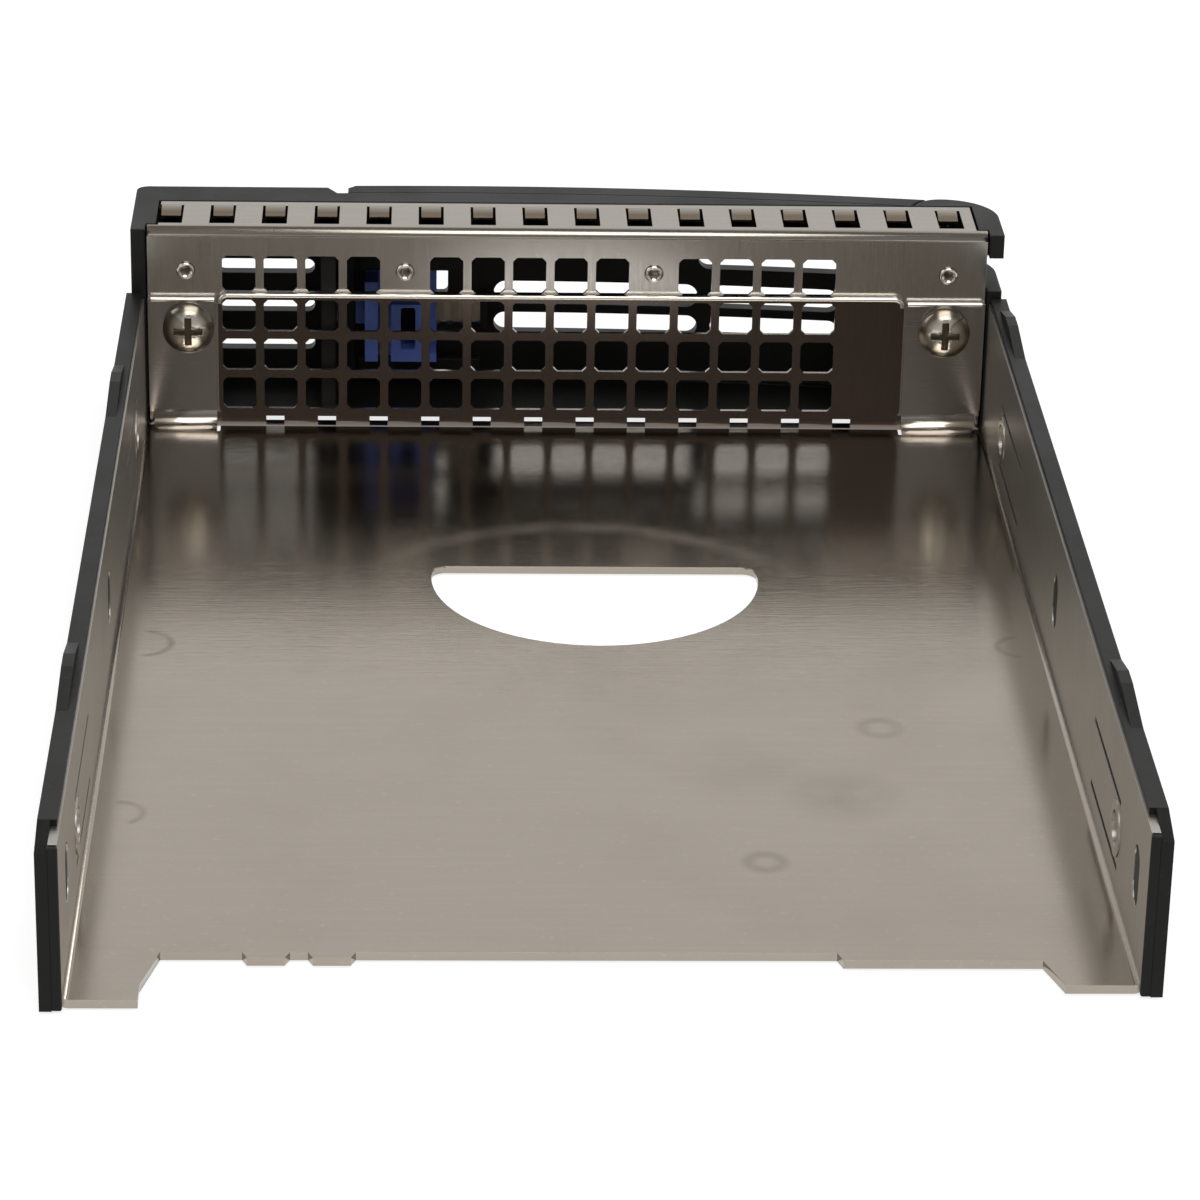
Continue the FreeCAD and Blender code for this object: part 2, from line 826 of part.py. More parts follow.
def bezel_plan():
    """Bezel seen from above: square left block, bowed front and round right corner."""
    half, corner = bezel_half, size.bezel_corner
    flank = shield_half + size.flank_gap
    front_depth = size.handle_depth + size.handle_gap
    edge = -block_edge
    shoulder = handle_right - size.handle_gap
    turn_y = bezel_nose - size.corner_radius
    bow_centre = (size.bow_across, size.front_reach - size.bow_radius)
    return [
        to(-half, size.flank_gap),
        to(-flank, size.flank_gap),
        to(-flank, strip_far),
        to(flank, strip_far),
        to(flank, size.flank_gap),
        to(half, size.flank_gap),
        to(half, turn_y),
        arc(pivot_x, bezel_nose, (pivot_x, turn_y), 1),
        arc(knuckle_left, size.pivot_y, (pivot_x, size.pivot_y), 1),
        to(shoulder, size.pivot_y),
        to(shoulder, bow(shoulder, front_depth)),
        arc(edge, bow(edge, front_depth), bow_centre, 1),
        to(edge - size.notch_slope, size.bezel_front),
        to(corner - half, size.bezel_front),
        arc(-half, size.bezel_front - corner, (corner - half, size.bezel_front - corner), 1),
    ]


def make_bezel():
    """Moulded front frame: vented left block, bowed rims and the pivot block at the right."""
    bezel = Piece("bezel")
    far = size.front_reach
    shoulder = handle_right - size.handle_gap
    bezel.pad("moulding", "XY", underside, size.shield_top, bezel_plan())
    window = rectangle(-block_edge, shoulder, sill, ceiling)
    bezel.pocket("handle_window", "XZ", strip_far, far, window)
    slot = rectangle(shoulder - 1, bezel_half, size.slot_floor, ceiling)
    bezel.pocket("cam_slot", "XZ", ZERO, far, slot)
    wall = size.bezel_wall
    block = rectangle(wall - bezel_half, -block_edge - wall, sill, ceiling)
    bezel.pocket("block_hollow", "XZ", strip_far, size.bezel_front - wall, block)
    side = flange_half + size.flange_clearance
    reach = size.flange_reach + size.flange_clearance
    seat = rectangle(-side, side, strip_far, reach)
    bezel.pocket("flange_seat", "XY", flange_under, size.shield_top, seat)
    bezel.pocket("foot_flange_seat", "XY", underside, foot_flange, seat)
    fold = shield_fold + size.flange_clearance
    flank = shield_half + size.flank_gap
    fold_seat = rectangle(-flank, flank, strip_far, strip_near + fold)
    bezel.pocket("fold_seat", "XY", size.shield_top - fold, size.shield_top, fold_seat)
    bezel.pocket("foot_fold_seat", "XY", underside, underside + fold, fold_seat)
    room = rectangle(-side, side, strip_far, reach - size.ledge_width)
    bezel.pocket("finger_trough", "XY", roof, flange_under, room)
    light = rectangle(-left_ear, right_ear, strip_far, strip_far + size.foot_room)
    bezel.pocket("foot_light", "XY", foot_flange, sill, light)
    vents = []
    vent_left, vent_right = size.vent_margin - bezel_half, -block_edge - size.vent_inset
    for number in range(4):
        low = size.vent_base + size.vent_pitch * number - size.vent_height / 2
        vents.append(stadium(vent_left, vent_right, low, low + size.vent_height))
    bezel.pocket("block_vents", "XZ", size.bezel_front - wall, size.bezel_front, *vents)
    nose_room = size.nose_half + size.latch_gap
    strike = rectangle(bow(-block_edge, size.handle_depth) - size.latch_rib / 2,
                       size.bezel_front, size.nose_level - nose_room, size.nose_level + nose_room)
    bezel.pocket("latch_strike", "YZ", -block_edge - wall, -block_edge, strike)
    boss = circle(-screw_across, size.screw_height, size.boss_radius)
    bezel.pad("screw_boss", "XZ", strip_far, size.bezel_front - wall / 2, boss)
    places = rivet_places()
    posts = [
        rectangle(x - size.post_half, x + size.post_half, size.rivet_level - size.post_half, ceiling)
        for x in places[:3]
    ]
    bezel.pad("rivet_posts", "XZ", strip_far, strip_far + size.post_depth, *posts)
    stub_top = size.rivet_level + size.post_half
    stub = rectangle(places[3] - size.post_half, places[3] + size.post_half, size.slot_floor, stub_top)
    bezel.pad("rivet_stub", "XZ", strip_far, strip_far + size.rivet_grip, stub)
    core = rectangle(shoulder + wall, bezel_half - wall, sill, size.screw_height - size.boss_radius)
    bezel.pocket("block_core", "XZ", strip_far, size.pivot_y - size.pin_radius - wall, core)
    screws = [circle(screw_across * way, size.screw_height, size.screw_shank) for way in (-1, 1)]
    bezel.pocket("screw_holes", "XZ", strip_far, size.screw_length, *screws)
    rivets = [circle(x, size.rivet_level, size.rivet_shank) for x in places]
    bezel.pocket("rivet_holes", "XZ", strip_far, strip_far + size.rivet_grip, *rivets)
    pin = circle(pivot_x, size.pivot_y, size.pin_radius)
    bezel.pocket("pin_hole", "XY", size.screw_height - size.boss_radius, flange_under, pin)
    return bezel


def handle_shell(depth, left, right):
    """Region between the handle's bowed front, less a depth, and its open back."""
    centre = (size.bow_across, size.front_reach - size.bow_radius)
    back = size.handle_depth
    return [
        to(left, bow(left, back)),
        arc(right, bow(right, back), centre, -1),
        to(right, bow(right, depth)),
        arc(left, bow(left, depth), centre, 1),
    ]


def make_ejector_handle():
    """Bowed lever across the front, with air slots, an arm to the pivot and the latch's guides."""
    handle = Piece("ejector_handle")
    left, right = -handle_left, handle_right
    rim = size.handle_rim
    skin = size.handle_skin
    far = size.front_reach
    handle.pad("lever", "XY", handle_foot, handle_top, handle_shell(ZERO, left, right))
    slope = left + size.end_slope
    corner = [
        to(left, bow(left, size.end_slope)),
        to(slope, bow(slope, ZERO)),
        to(slope, far),
        to(left, far),
    ]
    handle.pocket("left_corner", "XY", handle_foot, handle_top, corner)
    hollow = handle_shell(skin, left + rim, right - rim)
    handle.pocket("shell", "XY", handle_foot + rim, handle_top - rim, hollow)
    bar = size.slot_bar / 2
    slots = []
    for low, height in (
        (size.lower_slot, size.lower_slot_height),
        (size.upper_slot, size.upper_slot_height),
    ):
        slots.append(stadium(slot_left, slot_divide - bar, low, low + height))
        slots.append(stadium(slot_divide + bar, slot_right, low, low + height))
    slots.append(stadium(slot_divide - bar, slot_right + bar, size.high_slot,
                         size.high_slot + size.high_slot_height))
    handle.pocket("air_slots", "XZ", size.pivot_y, far, *slots)
    arm_end = right - size.arm_reach
    arm = [
        to(pivot_x, size.pivot_y - size.knuckle),
        to(pivot_x, size.pivot_y + size.knuckle),
        to(right, bow(right, skin / 2)),
        to(arm_end, bow(arm_end, skin / 2)),
        to(arm_end, bow(arm_end, skin * 2)),
    ]
    handle.pad("arm", "XY", hub_floor, hub_top, arm)
    hub = circle(pivot_x, size.pivot_y, size.knuckle)
    handle.pad("hub", "XY", hub_floor, hub_top, hub)
    bore = circle(pivot_x, size.pivot_y, size.pin_radius + size.pin_fit)
    handle.pocket("bore", "XY", hub_floor, hub_top, bore)
    cam_room = rectangle(right - rim, right, size.pivot_y, bow(right, skin))
    handle.pocket("cam_notch", "XY", hub_top, hub_top + size.cam_gauge + size.joint_gap, cam_room)
    gap = size.latch_gap
    pad_left = pad_edge() - gap * 2
    pad_right = pad_edge() + size.pad_width + size.latch_travel + gap * 2
    pad_half = size.pad_height / 2 + gap
    mouth = rounded(pad_left, pad_right, size.pad_level - pad_half, size.pad_level + pad_half, gap * 2)
    handle.pocket("thumb_mouth", "XZ", size.pivot_y, far, mouth)
    nose_room = size.nose_half + gap
    notch = rectangle(size.pivot_y, latch_front() + gap, size.nose_level - nose_room,
                      size.nose_level + nose_room)
    handle.pocket("nose_notch", "YZ", left, left + rim, notch)
    stop = latch_right + size.spring_length
    back = latch_front() - size.latch_plate - gap
    root_y = latch_front() + gap + skin / 2
    lip_back = back - size.guide_wall
    for name, face, way in (("lower", size.latch_foot - gap, -1), ("upper", size.latch_top + gap, 1)):
        base = face + size.guide_wall * way
        edge = face - (size.guide_lip + gap) * way
        levels = [(base, face, lip_back, root_y), (face, edge, lip_back, back)]
        for number, (one, two, near, deep) in enumerate(levels):
            low, high = (one, two) if one.value < two.value else (two, one)
            guide = rectangle(near, deep, low, high)
            handle.pad(f"{name}_guide_{number + 1}", "YZ", left + rim, stop, guide)
    seat_half = size.spring_half + size.guide_wall / 2
    seat = rectangle(back, root_y, size.nose_level - seat_half, size.nose_level + seat_half)
    handle.pad("spring_seat", "YZ", stop, stop + size.guide_wall, seat)
    return handle


def latch_front():
    """Front face of the latch's plate, just behind the handle's skin."""
    return bow(latch_right, size.handle_skin) - size.latch_gap


def pad_edge():
    """Left edge of the thumb pad."""
    return latch_left + size.latch_rib / 2


def make_release_latch():
    """Sliding latch: plate, upright rib, windowed block, nose and thumb pad."""
    latch = Piece("release_latch")
    front = latch_front()
    back = front - size.latch_plate
    rear = back - size.latch_rib
    low, high = size.latch_foot, size.latch_top
    clear = size.guide_lip + size.latch_gap * 2
    plate = rectangle(latch_left, latch_right, low, high)
    latch.pad("plate", "XZ", back, front, plate)
    rib = size.latch_rib * 0.4
    foot, head = low + clear, high - clear
    block_left = latch_left + rib * 2
    block_right = block_left + size.latch_rib * 0.95
    block_top = foot + (head - foot) * 0.72
    ribs = [
        rectangle(latch_left, latch_left + rib, foot, head),
        rectangle(block_left, block_right, foot, block_top),
    ]
    latch.pad("ribs", "XZ", rear, back, *ribs)
    toe = rectangle(block_right, latch_right, foot, foot + rib * 0.7)
    latch.pad("toe", "XZ", rear, back, toe)
    frame = rib / 2
    eye = rounded(block_left + frame * 1.5, block_right - frame, foot + rib, block_top - frame / 2, frame / 2)
    latch.pocket("eye", "XZ", rear, front, eye)
    tip = size.nose_gap - block_edge
    nose = rectangle(tip, latch_left, size.nose_level - size.nose_half,
                     size.nose_level + size.nose_half)
    latch.pad("nose", "XZ", back, front, nose)
    pad_half = size.pad_height / 2
    pad = rounded(pad_edge(), pad_edge() + size.pad_width, size.pad_level - pad_half,
                  size.pad_level + pad_half, size.latch_gap * 2)
    pad_front = bow(latch_left, size.pad_recess)
    latch.pad("thumb_pad", "XZ", front, pad_front, pad)
    grooves = []
    for number in (-1, 0, 1):
        middle = pad_edge() + size.pad_width / 2 + size.pad_width * number * 0.27
        half = size.pad_width * 0.06
        grooves.append(rectangle(middle - half, middle + half, size.pad_level - pad_half * 0.8,
                                 size.pad_level + pad_half * 0.8))
    latch.pocket("grip_grooves", "XZ", pad_front - size.latch_gap, pad_front, *grooves)
    return latch


def make_cam_plate():
    """Flat steel cam that lies on the handle's arm, turns about the pin and reaches out to the side."""
    cam = Piece("cam_plate")
    x, y, k = pivot_x, size.pivot_y, size.knuckle
    nose = size.cam_nose
    tail = handle_right - size.arm_reach / 2
    outline = [
        to(tail, bow(tail, size.handle_skin * 2.2)),
        to(x, y - k * 1.3),
        to(x + nose * 0.7, y - k * 1.3),
        to(x + nose, y - k * 0.9),
        to(x + nose, y - k * 0.3),
        to(x + nose * 0.6, y + k * 0.2),
        to(x + nose * 0.3, y + k * 0.75),
        to(x - k * 0.6, y + k * 0.75),
        to(handle_right, bow(handle_right, size.handle_skin + size.joint_gap)),
        to(tail, bow(tail, size.handle_skin + size.joint_gap)),
    ]
    cam.pad("plate", "XY", hub_top, hub_top + size.cam_gauge, outline)
    bore = circle(x, y, size.pin_radius + size.pin_fit)
    cam.pocket("bore", "XY", hub_top, hub_top + size.cam_gauge, bore)
    return cam


def make_pivot_pin():
    """Plain pin with bevelled ends, held in the bezel above and below the handle's hub."""
    pin = Piece("pivot_pin")
    r = size.pin_radius
    foot, head = size.screw_height - size.boss_radius, roof
    bevel = r * 0.2
    section = [
        to(ZERO, foot), to(r - bevel, foot), to(r, foot + bevel),
        to(r, head - bevel), to(r - bevel, head), to(ZERO, head),
    ]
    pin.revolve("shaft", "XZ", size.pivot_y, (pivot_x, ZERO), section)
    return pin


def make_latch_spring():
    """Leaf folded to and fro that pushes the latch's nose out."""
    spring = Piece("latch_spring")
    leaf = size.spring_leaf
    front = latch_front() - leaf
    back = latch_front() - size.latch_plate
    folds = 6
    step = size.spring_length / folds
    places = [(latch_right + step * n, front if n % 2 else back) for n in range(folds + 1)]
    lower = [to(x, y) for x, y in places]
    upper = [to(x, y + leaf) for x, y in reversed(places)]
    low, high = size.nose_level - size.spring_half, size.nose_level + size.spring_half
    spring.pad("folded_leaf", "XY", low, high, lower + upper)
    return spring


def make_front_screws():
    """Two pan-head screws with crossed recesses that clamp ear, shield and bezel together."""
    screws = Piece("front_screws", several=True)
    head, rim, rise = size.screw_head, size.head_rim, size.head_rise
    dome = (head * head - (rise - rim) * (rise - rim)) / ((rise - rim) * 2)
    section = [
        to(ZERO, -rise),
        to(ZERO, size.screw_length),
        to(size.screw_shank, size.screw_length),
        to(size.screw_shank, ZERO),
        to(head, ZERO),
        to(head, -rim),
    ]
    section[0] = arc(ZERO, -rise, (ZERO, dome - rim), -1)
    turned = screws.revolve("screw", "XY", size.screw_height, (screw_across, ZERO), section)
    x, z = screw_across, size.screw_height
    a, b = size.recess_arm, size.recess_half
    cross = [
        to(x - b, z - a), to(x + b, z - a), to(x + b, z - b), to(x + a, z - b),
        to(x + a, z + b), to(x + b, z + b), to(x + b, z + a), to(x - b, z + a),
        to(x - b, z + b), to(x - a, z + b), to(x - a, z - b), to(x - b, z - b),
    ]
    recess = screws.pocket("recess", "XZ", -rise, size.recess_depth - rise, cross)
    screws.mirror("pair", [turned, recess])
    return screws


def make_shield_rivets():
    """Four dished rivets that hold the shield to the bezel."""
    rivets = Piece("shield_rivets", several=True)
    head, rise, dish = size.rivet_head, size.rivet_rise, size.rivet_dish
    face = strip_near
    tail = strip_far + size.rivet_grip
    shank = size.rivet_shank
    section = [
        to(ZERO, face - rise * 0.3),
        to(ZERO, tail),
        to(shank, tail),
        to(shank, face),
        to(head, face),
        to((head + dish) / 2, face - rise),
    ]
    for number, x in enumerate(rivet_places()):
        rivets.revolve(f"rivet_{number + 1}", "XY", size.rivet_level, (x, ZERO), section)
    return rivets


def main():
    """Build every sub-part, test it and write its file."""
    left_bumps = (-size.left_front_bump, size.left_rear_bump - pan_length)
    right_bumps = (-size.right_front_bump, size.right_rear_bump - pan_length)
    pieces = [
        make_tray_pan().body,
        make_rail("left_rail", -1, left_end, left_bumps).body,
        make_rail("right_rail", 1, right_end, right_bumps).body,
        make_emi_shield().body,
        make_top_flange().body,
        make_foot_flange().body,
        make_bezel().body,
        make_ejector_handle().body,
        make_cam_plate().body,
        make_pivot_pin().body,
        make_release_latch().body,
        make_latch_spring().body,
        make_front_screws().body,
        make_shield_rivets().body,
    ]
    doc.recompute()
    faulty = [item.Name for item in doc.Objects if {"Invalid", "Error"} & set(item.State)]
    faulty += [item.Label for item in pieces if item.Shape.isNull() or not item.Shape.isValid()]
    if faulty:
        raise RuntimeError(f"failed objects: {faulty}")
    os.makedirs("parts", exist_ok=True)
    for item in pieces:
        item.Shape.exportStep(f"parts/{item.Label}.step")
        box = item.Shape.BoundBox
        print(item.Label, len(item.Shape.Solids), "solids", round(item.Shape.Volume, 1), "mm3",
              [round(v, 2) for v in (box.XMin, box.XMax, box.YMin, box.YMax, box.ZMin, box.ZMax)])


main()
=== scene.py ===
import logging
import math
from dataclasses import dataclass
from enum import Enum
from typing import Optional, Sequence, Union

import bpy
import numpy as np
from mathutils import Matrix, Vector


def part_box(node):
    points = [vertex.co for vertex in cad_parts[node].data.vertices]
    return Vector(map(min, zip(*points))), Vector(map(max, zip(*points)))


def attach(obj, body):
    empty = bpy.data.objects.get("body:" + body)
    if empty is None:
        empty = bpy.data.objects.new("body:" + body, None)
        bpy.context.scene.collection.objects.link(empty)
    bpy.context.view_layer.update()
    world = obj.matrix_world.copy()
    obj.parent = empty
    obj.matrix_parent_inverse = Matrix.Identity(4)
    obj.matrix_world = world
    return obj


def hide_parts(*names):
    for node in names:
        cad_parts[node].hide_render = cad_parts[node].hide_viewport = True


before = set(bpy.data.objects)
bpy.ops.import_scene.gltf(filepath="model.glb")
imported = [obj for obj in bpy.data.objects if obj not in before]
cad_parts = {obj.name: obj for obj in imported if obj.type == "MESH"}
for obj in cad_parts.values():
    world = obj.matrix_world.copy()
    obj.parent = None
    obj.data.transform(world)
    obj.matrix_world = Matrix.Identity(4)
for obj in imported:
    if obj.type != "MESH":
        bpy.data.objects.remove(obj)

LOG = logging.getLogger("drive_tray")
Colour = tuple[float, float, float]
Point = tuple[float, float, float]
Link = bpy.types.NodeSocket
Value = Union[Link, float, tuple[float, ...]]

MM = 0.001
QUARTER_TURN = math.pi / 2
FULL_TURN = 2.0 * math.pi
# The tray's own datum, the inner face of its front ears at floor level, in the row frame.
DATUM = np.array([0.0, 63.85, 0.9])
# Gauge of the pan's steel, in millimetres.
SHEET = 0.9
# Inner face of each side wall, in millimetres from the tray's middle.
WALL_FACE = 51.0
# Edges where faces turn by more than this are rounded, or stay sharp on a smooth piece.
ROUND_ANGLE = math.radians(40)
SHARP_ANGLE = math.radians(50)
# Corners of a CAD node that lie closer than this, in metres, are joined.
JOIN_WITHIN = 1e-6
# Width of the rounding along each CAD node's sharp edges, in millimetres. The bowed nodes keep their
# exact faces, and their finish softens the edges.
ROUNDING = {
    "tray_pan": 0.12,
    "emi_shield": 0.12,
    "top_flange": 0.06,
    "foot_flange": 0.06,
    "front_screws": 0.08,
    "left_rail": 0.2,
    "right_rail": 0.2,
    "cam_plate": 0.2,
    "release_latch": 0.15,
}


def place(x: float, y: float, z: float) -> Vector:
    """Row-frame point, in metres, of a point in millimetres from the tray's datum."""
    return Vector((np.array([x, y, z]) + DATUM) * MM)


def opaque(colour: Value) -> Value:
    """Plain colour with full alpha; a socket stays as it is."""
    return (*colour, 1.0) if isinstance(colour, tuple) else colour


def scaled(colour: Colour, gain: float) -> Colour:
    """Colour with each of its parts multiplied by the gain."""
    return tuple(part * gain for part in colour)


class Grain(Enum):
    """Axis that rolling or polishing lines run along."""

    ACROSS = (1.0, 30.0, 30.0)
    UPRIGHT = (30.0, 30.0, 1.0)
    ALONG = (30.0, 1.0, 30.0)


class Axis(Enum):
    """Ways to measure from the tray's datum."""

    ALONG = "Y"
    UP = "Z"


class Mix(Enum):
    """Kinds of mixing: data type, both inputs and output of a Mix node."""

    VECTOR = ("VECTOR", 4, 5, 1)
    COLOUR = ("RGBA", 6, 7, 2)


class Weave:
    """Short way to write node trees: most calls add one node and return its output."""

    def __init__(self, tree: bpy.types.NodeTree) -> None:
        """Keep the tree that the calls add to."""
        self.tree = tree

    def node(self, kind: str, **settings: object) -> bpy.types.Node:
        """Add a node.

        Args:
            kind: Blender's node type, without the ShaderNode prefix.
            settings: Attributes to set on it.

        Returns:
            The new node.
        """
        made = self.tree.nodes.new(f"ShaderNode{kind}")
        for name, value in settings.items():
            setattr(made, name, value)
        return made

    def feed(self, socket: Link, value: Value) -> None:
        """Link a socket to another, or set it to a plain value.

        Args:
            socket: Socket to feed.
            value: Socket to link from, or the plain value.
        """
        if isinstance(value, bpy.types.NodeSocket):
            self.tree.links.new(value, socket)
        else:
            socket.default_value = value

    def coords(self, kind: str = "Object") -> Link:
        """Texture coordinates of one of Blender's kinds."""
        return self.node("TexCoord").outputs[kind]

    def part(self, vector: Link, axis: str) -> Link:
        """One coordinate of a vector.

        Args:
            vector: Socket with the vector.
            axis: X, Y or Z.

        Returns:
            Socket with the coordinate.
        """
        made = self.node("SeparateXYZ")
        self.feed(made.inputs[0], vector)
        return made.outputs[axis]

    def maths(self, operation: str, *values: Value) -> Link:
        """One arithmetic step on numbers.

        Args:
            operation: Blender's name of the step.
            values: Numbers or sockets that it works on.

        Returns:
            Socket with the result.
        """
        made = self.node("Math", operation=operation)
        for socket, value in zip(made.inputs, values):
            self.feed(socket, value)
        return made.outputs[0]

    def vectors(self, operation: str, *values: Value) -> bpy.types.Node:
        """One arithmetic step on vectors.

        Args:
            operation: Blender's name of the step.
            values: Vectors or sockets that it works on.

        Returns:
            The new node, with its result in Vector or Value.
        """
        made = self.node("VectorMath", operation=operation)
        for socket, value in zip(made.inputs, values):
            self.feed(socket, value)
        return made

    def span(self, value: Link, low: float, high: float, start: float = 0.0, end: float = 1.0) -> Link:
        """Move a value from one range into another, held at both ends.

        Args:
            value: Socket with the value.
            low: Value that becomes start.
            high: Value that becomes end.
            start: Result at low.
            end: Result at high.

        Returns:
            Socket with the result.
        """
        made = self.node("MapRange", clamp=True)
        for name, number in (("From Min", low), ("From Max", high), ("To Min", start), ("To Max", end)):
            made.inputs[name].default_value = number
        self.feed(made.inputs["Value"], value)
        return made.outputs["Result"]

    def mix(self, kind: Mix, factor: Value, one: Value, two: Value, how: str = "MIX") -> Link:
        """Mix two vectors or two colours.

        Args:
            kind: What is mixed.
            factor: Share of the second, from 0 to 1.
            one: First vector or colour.
            two: Second vector or colour.
            how: Blender's blend type.

        Returns:
            Socket with the mix.
        """
        data_type, first, second, result = kind.value
        made = self.node("Mix", data_type=data_type, blend_type=how, clamp_factor=True)
        for socket, value in ((0, factor), (first, one), (second, two)):
            self.feed(made.inputs[socket], value)
        return made.outputs[result]

    def blend(self, factor: Link, one: Value, two: Value) -> Link:
        """Mix two colours."""
        return self.mix(Mix.COLOUR, factor, opaque(one), opaque(two))

    def tint(self, factor: Link, colour: Link, by: Colour) -> Link:
        """Multiply a colour by another where the factor is 1."""
        return self.mix(Mix.COLOUR, factor, colour, opaque(by), "MULTIPLY")

    def noise(self, vector: Link, scale: Value, detail: float = 3.0, rough: float = 0.5) -> Link:
        """Fractal noise between 0 and 1.

        Args:
            vector: Coordinates that it is drawn at.
            scale: How closely its features lie.
            detail: Number of finer layers.
            rough: Weight of each finer layer.

        Returns:
            Socket with the noise.
        """
        made = self.node("TexNoise")
        self.feed(made.inputs["Vector"], vector)
        self.feed(made.inputs["Scale"], scale)
        made.inputs["Detail"].default_value = detail
        made.inputs["Roughness"].default_value = rough
        return made.outputs["Fac"]

    def bump(self, height: Link, strength: float, distance: float) -> bpy.types.Node:
        """Bump for a height.

        Args:
            height: Socket with the height.
            strength: Share of the bump that shows.
            distance: Real height, in metres, of a height of 1.

        Returns:
            The new node.
        """
        made = self.node("Bump")
        made.inputs["Strength"].default_value = strength
        made.inputs["Distance"].default_value = distance
        self.feed(made.inputs["Height"], height)
        return made


Group = tuple[bpy.types.NodeTree, Weave, bpy.types.Node, bpy.types.Node]


class Effects:
    """Shader groups that several finishes share."""

    # Fine lines: how much closer they lie than broad ones, and the share of each in the relief.
    FINE_RATIO = 4.0
    FINE_SHARE = 0.6
    BROAD_SHARE = 0.4
    # Noise level at which clouds start when nothing is covered, and how fast they thicken.
    CLOUD_LEVEL = 0.85
    CLOUD_GAIN = 4.0
    # Specks: how much smaller they are than clouds, and the noise levels between which they appear.
    SPECK_RATIO = 30.0
    SPECK_LEVELS = (0.62, 0.72)

    def __init__(self) -> None:
        """Build each group once."""
        self.grain = self._grain()
        self.scuffs = self._scuffs()
        self.moulding = self._moulding()

    @staticmethod
    def _start(
        name: str, inputs: Sequence[tuple[str, str, Value]], outputs: Sequence[tuple[str, str]]
    ) -> Group:
        """Empty group with its sockets.

        Args:
            name: Name of the group.
            inputs: Name, socket kind and first value of each input.
            outputs: Name and socket kind of each output.

        Returns:
            The tree, a writer for it, its input node and its output node.
        """
        tree = bpy.data.node_groups.new(name, "ShaderNodeTree")
        for label, kind, value in inputs:
            socket = tree.interface.new_socket(label, in_out="INPUT", socket_type=f"NodeSocket{kind}")
            socket.default_value = value
        for label, kind in outputs:
            tree.interface.new_socket(label, in_out="OUTPUT", socket_type=f"NodeSocket{kind}")
        return tree, Weave(tree), tree.nodes.new("NodeGroupInput"), tree.nodes.new("NodeGroupOutput")

    def _grain(self) -> bpy.types.NodeTree:
        """Rolling lines: noise drawn out along one axis, fine lines over broad ones.

        Returns:
            The group.
        """
        tree, w, source, sink = self._start(
            "rolled_grain",
            [("Stretch", "Vector", Grain.ACROSS.value), ("Density", "Float", 60.0)],
            [("Lines", "Float"), ("Bands", "Float")],
        )
        density = source.outputs["Density"]
        drawn = w.vectors("MULTIPLY", w.coords(), source.outputs["Stretch"]).outputs["Vector"]
        fine = w.noise(drawn, w.maths("MULTIPLY", density, self.FINE_RATIO), detail=2.0, rough=0.6)
        broad = w.noise(drawn, density, detail=4.0, rough=0.6)
        fine_part = w.maths("MULTIPLY", fine, self.FINE_SHARE)
        broad_part = w.maths("MULTIPLY", broad, self.BROAD_SHARE)
        w.feed(sink.inputs["Lines"], w.maths("ADD", fine_part, broad_part))
        w.feed(sink.inputs["Bands"], broad)
        return tree

    def _scuffs(self) -> bpy.types.NodeTree:
        """Handling marks: cloudy patches, and specks that break them up.

        Returns:
            The group.
        """
        tree, w, source, sink = self._start(
            "handling_marks",
            [("Size", "Float", 40.0), ("Cover", "Float", 0.4)],
            [("Clouds", "Float"), ("Specks", "Float")],
        )
        where = w.coords()
        size = source.outputs["Size"]
        clouds = w.noise(where, size, detail=4.0, rough=0.6)
        low = w.maths("SUBTRACT", self.CLOUD_LEVEL, source.outputs["Cover"])
        patch = w.maths("MULTIPLY", w.maths("SUBTRACT", clouds, low), self.CLOUD_GAIN)
        w.feed(sink.inputs["Clouds"], w.span(patch, 0.0, 1.0))
        specks = w.noise(where, w.maths("MULTIPLY", size, self.SPECK_RATIO), detail=2.0, rough=0.7)
        w.feed(sink.inputs["Specks"], w.span(specks, *self.SPECK_LEVELS))
        return tree

    def _moulding(self) -> bpy.types.NodeTree:
        """Spark-eroded mould texture: tiny even bumps.

        Returns:
            The group.
        """
        tree, w, source, sink = self._start(
            "mould_texture", [("Fineness", "Float", 2500.0)], [("Height", "Float")]
        )
        bumps = w.noise(w.coords(), source.outputs["Fineness"], detail=2.0, rough=0.6)
        w.feed(sink.inputs["Height"], bumps)
        return tree


@dataclass(frozen=True)
class RubMark:
    """Ring-shaped trace on the floor, in millimetres from the tray's datum."""

    across: float
    along: float
    radius: float
    width: float
    strength: float
    facing: Optional[tuple[float, float]] = None
    start: float = 0.0

    # Share of the width that has full strength, and share of the radius over which an end fades.
    CORE = 0.15
    FADE = 0.3

    def mask(self, w: Weave, where: Link) -> Link:
        """Strength of the mark: full on the ring's line, falling to 0 at its width.

        A mark that faces one way is kept only where its place from the centre, measured that way,
        is past its start, a share of the radius.

        Args:
            w: Writer of the material's tree.
            where: Object coordinates.

        Returns:
            Socket with the mask.
        """
        reach, width = self.radius * MM, self.width * MM
        centre = place(self.across, self.along, 0.0)
        away = w.vectors("SUBTRACT", where, centre).outputs["Vector"]
        flat = w.vectors("MULTIPLY", away, (1.0, 1.0, 0.0)).outputs["Vector"]
        length = w.vectors("LENGTH", flat).outputs["Value"]
        off = w.maths("ABSOLUTE", w.maths("SUBTRACT", length, reach))
        ring = w.maths("MULTIPLY", w.span(off, width, width * self.CORE), self.strength)
        if self.facing is None:
            return ring
        along = w.vectors("DOT_PRODUCT", away, (*self.facing, 0.0)).outputs["Value"]
        kept = w.span(along, reach * self.start, reach * (self.start + self.FADE))
        return w.maths("MULTIPLY", ring, kept)


